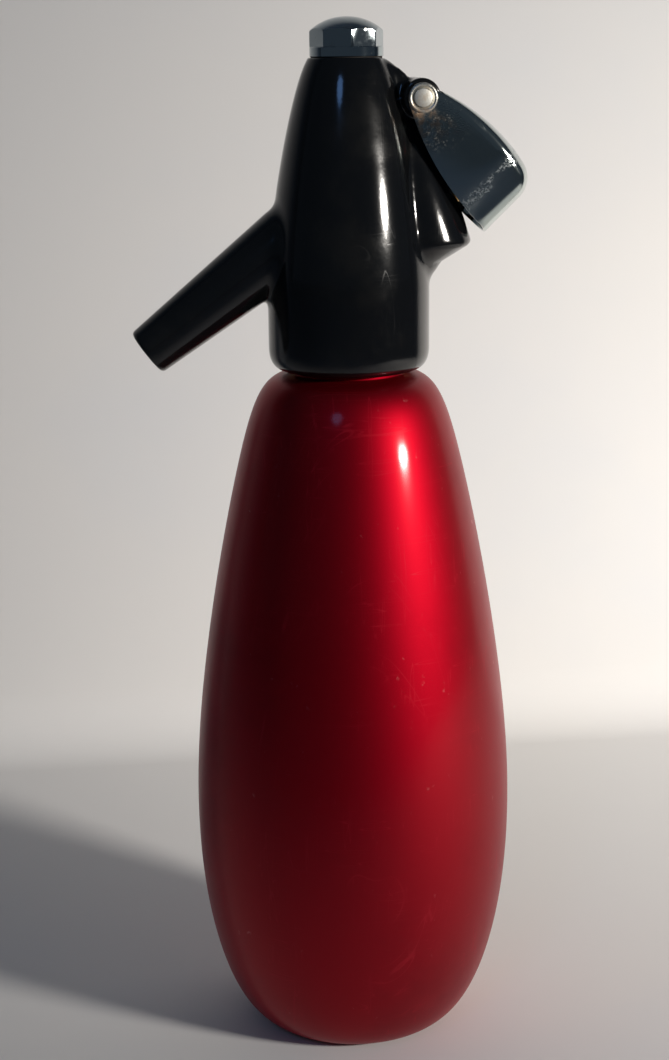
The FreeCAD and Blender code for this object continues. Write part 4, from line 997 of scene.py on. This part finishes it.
# %% Lever: room for the knuckle and the pin
knuckle_room = rod(7.0, (PIN_X, -11.5, PIN_Z), (PIN_X, 11.5, PIN_Z))
pin_hole = rod(3.06, (PIN_X, -20, PIN_Z), (PIN_X, 20, PIN_Z))
lever = cut_away(lever, knuckle_room, pin_hole)
bmesh.ops.recalc_face_normals(lever, faces=lever.faces)
ease(lever, 0.2, segments=2, angle=60.0)
finished("lever_shell", lever, "lever", "lever_chrome", worn_chrome, "lever", keep_sharp=32.0)

# %% [markdown]
# A raised ring stands round the pin on each side, where the real lever is
# pressed outwards. Both are the same turned piece, facing opposite ways.

# %% Lever: raised rings round the pin
ring_line = [(3.1, 12.3), (3.1, 12.4), (3.75, 13.0), (4.0, 13.2), (4.3, 13.25), (4.6, 13.1),
             (4.8, 12.8), (4.85, 12.3)]
for name, turn in (("lever_ring_near", 90.0), ("lever_ring_far", -90.0)):
    ring = onto_pin(turned(ring_line, steps=72), turn)
    finished(name, ring, "lever", "lever_chrome", worn_chrome)

# %% [markdown]
# ## The lever's pin
# The pin is plain steel. Its flat dull ends stand in the middle of the raised
# rings.

# %% Lever pin
pin_line = [(0.0, -13.4), (2.6, -13.4), (2.9, -13.3), (3.0, -13.0), (3.0, 13.0), (2.9, 13.3),
            (2.6, 13.4), (0.0, 13.4)]
finished("pin_steel", onto_pin(turned(pin_line, steps=64)), "head", "plain_steel", dull_steel,
         "lever_pin")

# %% [markdown]
# ## Inner pieces
# The solids of the seals, tubes, valve and gas charger already have the right
# shape. They only need their finishes, which take the place of the plain
# materials they came with.

# %% Finishes on the inner solids
INNER_FINISHES = {
    turned_brass: ["neck_ring", "charger_sleeve", "piercer_body", "gas_nozzle", "valve_barrel",
                   "gland_nut", "valve_stem", "washer_nut"],
    black_rubber: ["neck_gasket", "charger_seal", "check_sleeve", "stem_seal", "valve_washer"],
    drawn_steel: ["co2_charger", "valve_spring"],
    bare_steel: ["piercing_needle"],
    milky_plastic: ["siphon_tube", "tube_tip"],
    black_nylon: ["push_button"],
    pressed_fibre: ["cap_washer"],
}
for finish, names in INNER_FINISHES.items():
    for name in names:
        mesh = nodes[name].data
        mesh.materials.clear()
        mesh.materials.append(finish)
print("inner solids with a finish:", sum(len(names) for names in INNER_FINISHES.values()))

# %% [markdown]
# ## A pale studio
# The siphon stands on a pale sweep: a floor that turns up into a wall behind.
# The fold is drawn as a profile and extruded sideways. The wall is one-sided:
# its back lets a view from behind through, so a plain floor goes on behind it.

# %% Floor and backdrop
REACH = 8.0  # metres of floor to each side, in front and behind
FOLD_AT, FOLD_RADIUS = 0.24, 0.03
WALL_TOP = (0.30, 3.0)
sweep = bmesh.new()
fold = [(-REACH, 0.0), (FOLD_AT, 0.0)]
fold += [(FOLD_AT + FOLD_RADIUS * math.sin(math.radians(a)),
          FOLD_RADIUS - FOLD_RADIUS * math.cos(math.radians(a))) for a in range(10, 91, 10)]
fold += [WALL_TOP]
edge_line = [sweep.verts.new((-REACH, y, z)) for y, z in fold]
edge_runs = [sweep.edges.new(pair) for pair in zip(edge_line, edge_line[1:])]
wide = bmesh.ops.extrude_edge_only(sweep, edges=edge_runs)
bmesh.ops.translate(sweep, verts=[v for v in wide["geom"] if isinstance(v, bmesh.types.BMVert)],
                    vec=(2 * REACH, 0, 0))
bmesh.ops.recalc_face_normals(sweep, faces=sweep.faces)
sweep.faces.ensure_lookup_table()
if sweep.faces[0].normal.z < 0.0:
    bmesh.ops.reverse_faces(sweep, faces=sweep.faces)
rear_floor = ((-REACH, FOLD_AT), (REACH, FOLD_AT), (REACH, REACH), (-REACH, REACH))
sweep.faces.new([sweep.verts.new((x, y, 0.0)) for x, y in rear_floor])
sweep_mesh = bpy.data.meshes.new("pale_sweep")
sweep.to_mesh(sweep_mesh)
sweep.free()
sweep_mesh.shade_smooth()
print("fold:", len(fold), "points, faces:", len(sweep_mesh.polygons))

# %% Finish of the sweep
pale, tree, shader, coords = new_finish(
    "pale_sweep", (0.66, 0.66, 0.66), NOT_METAL, 0.85)
patches = effect(tree, blotches, coords, Scale=1.6, Cover=0.6)["Mask"]
tree.links.new(colour_mix(tree, patches, (0.68, 0.67, 0.66), (0.63, 0.64, 0.66)),
               shader.inputs["Base Color"])
seen_from = tree.nodes.new("ShaderNodeNewGeometry")
clear = tree.nodes.new("ShaderNodeBsdfTransparent")
one_sided = tree.nodes.new("ShaderNodeMixShader")
tree.links.new(seen_from.outputs["Backfacing"], one_sided.inputs["Fac"])
tree.links.new(shader.outputs["BSDF"], one_sided.inputs[1])
tree.links.new(clear.outputs["BSDF"], one_sided.inputs[2])
tree.links.new(one_sided.outputs["Shader"], tree.nodes["Material Output"].inputs["Surface"])
sweep_mesh.materials.append(pale)
sweep_object = placed("pale_sweep", sweep_mesh)
print("sweep is", sweep_object.dimensions.x, "metres wide")

# %% [markdown]
# ## Light
# One soft key lamp stands low at the right front. Its narrowed beam is aimed
# to the right of the siphon, so that the left side stays dark. A weak blue lamp
# high at the left front puts a faint glint on that side. The world gives an
# even low light.


# %% Lamps
def lamp(name, place, target, size, power, colour, spread=180.0):
    """An oval area lamp that faces a target; the spread narrows its beam."""
    data = bpy.data.lights.new(name, "AREA")
    data.shape = "ELLIPSE"
    data.size, data.size_y = size
    data.energy = power
    data.color = colour
    data.spread = math.radians(spread)
    holder = placed(name, data)
    holder.location = place
    holder.rotation_euler = (Vector(target) - Vector(place)).to_track_quat("-Z", "Y").to_euler()
    print("lamp", name, power, "W")


lamp("key", (1.0, -0.79, 0.52), target=(0.33, 0.12, 0.16), size=(0.22, 0.09), power=3.4,
     colour=(1.0, 0.95, 0.88), spread=64.0)
lamp("fill", (-0.48, -1.10, 1.10), target=(0.0, 0.1, 0.10), size=(0.28, 0.28), power=0.8,
     colour=(0.22, 0.46, 1.0))

# %% World
world = bpy.data.worlds.new("studio")
bpy.context.scene.world = world
world.use_nodes = True
sky = world.node_tree.nodes["Background"]
sky.inputs["Color"].default_value = (0.60, 0.78, 1.0, 1.0)
sky.inputs["Strength"].default_value = 0.07
bpy.context.scene.view_settings.view_transform = "Standard"
print("world", world.name)
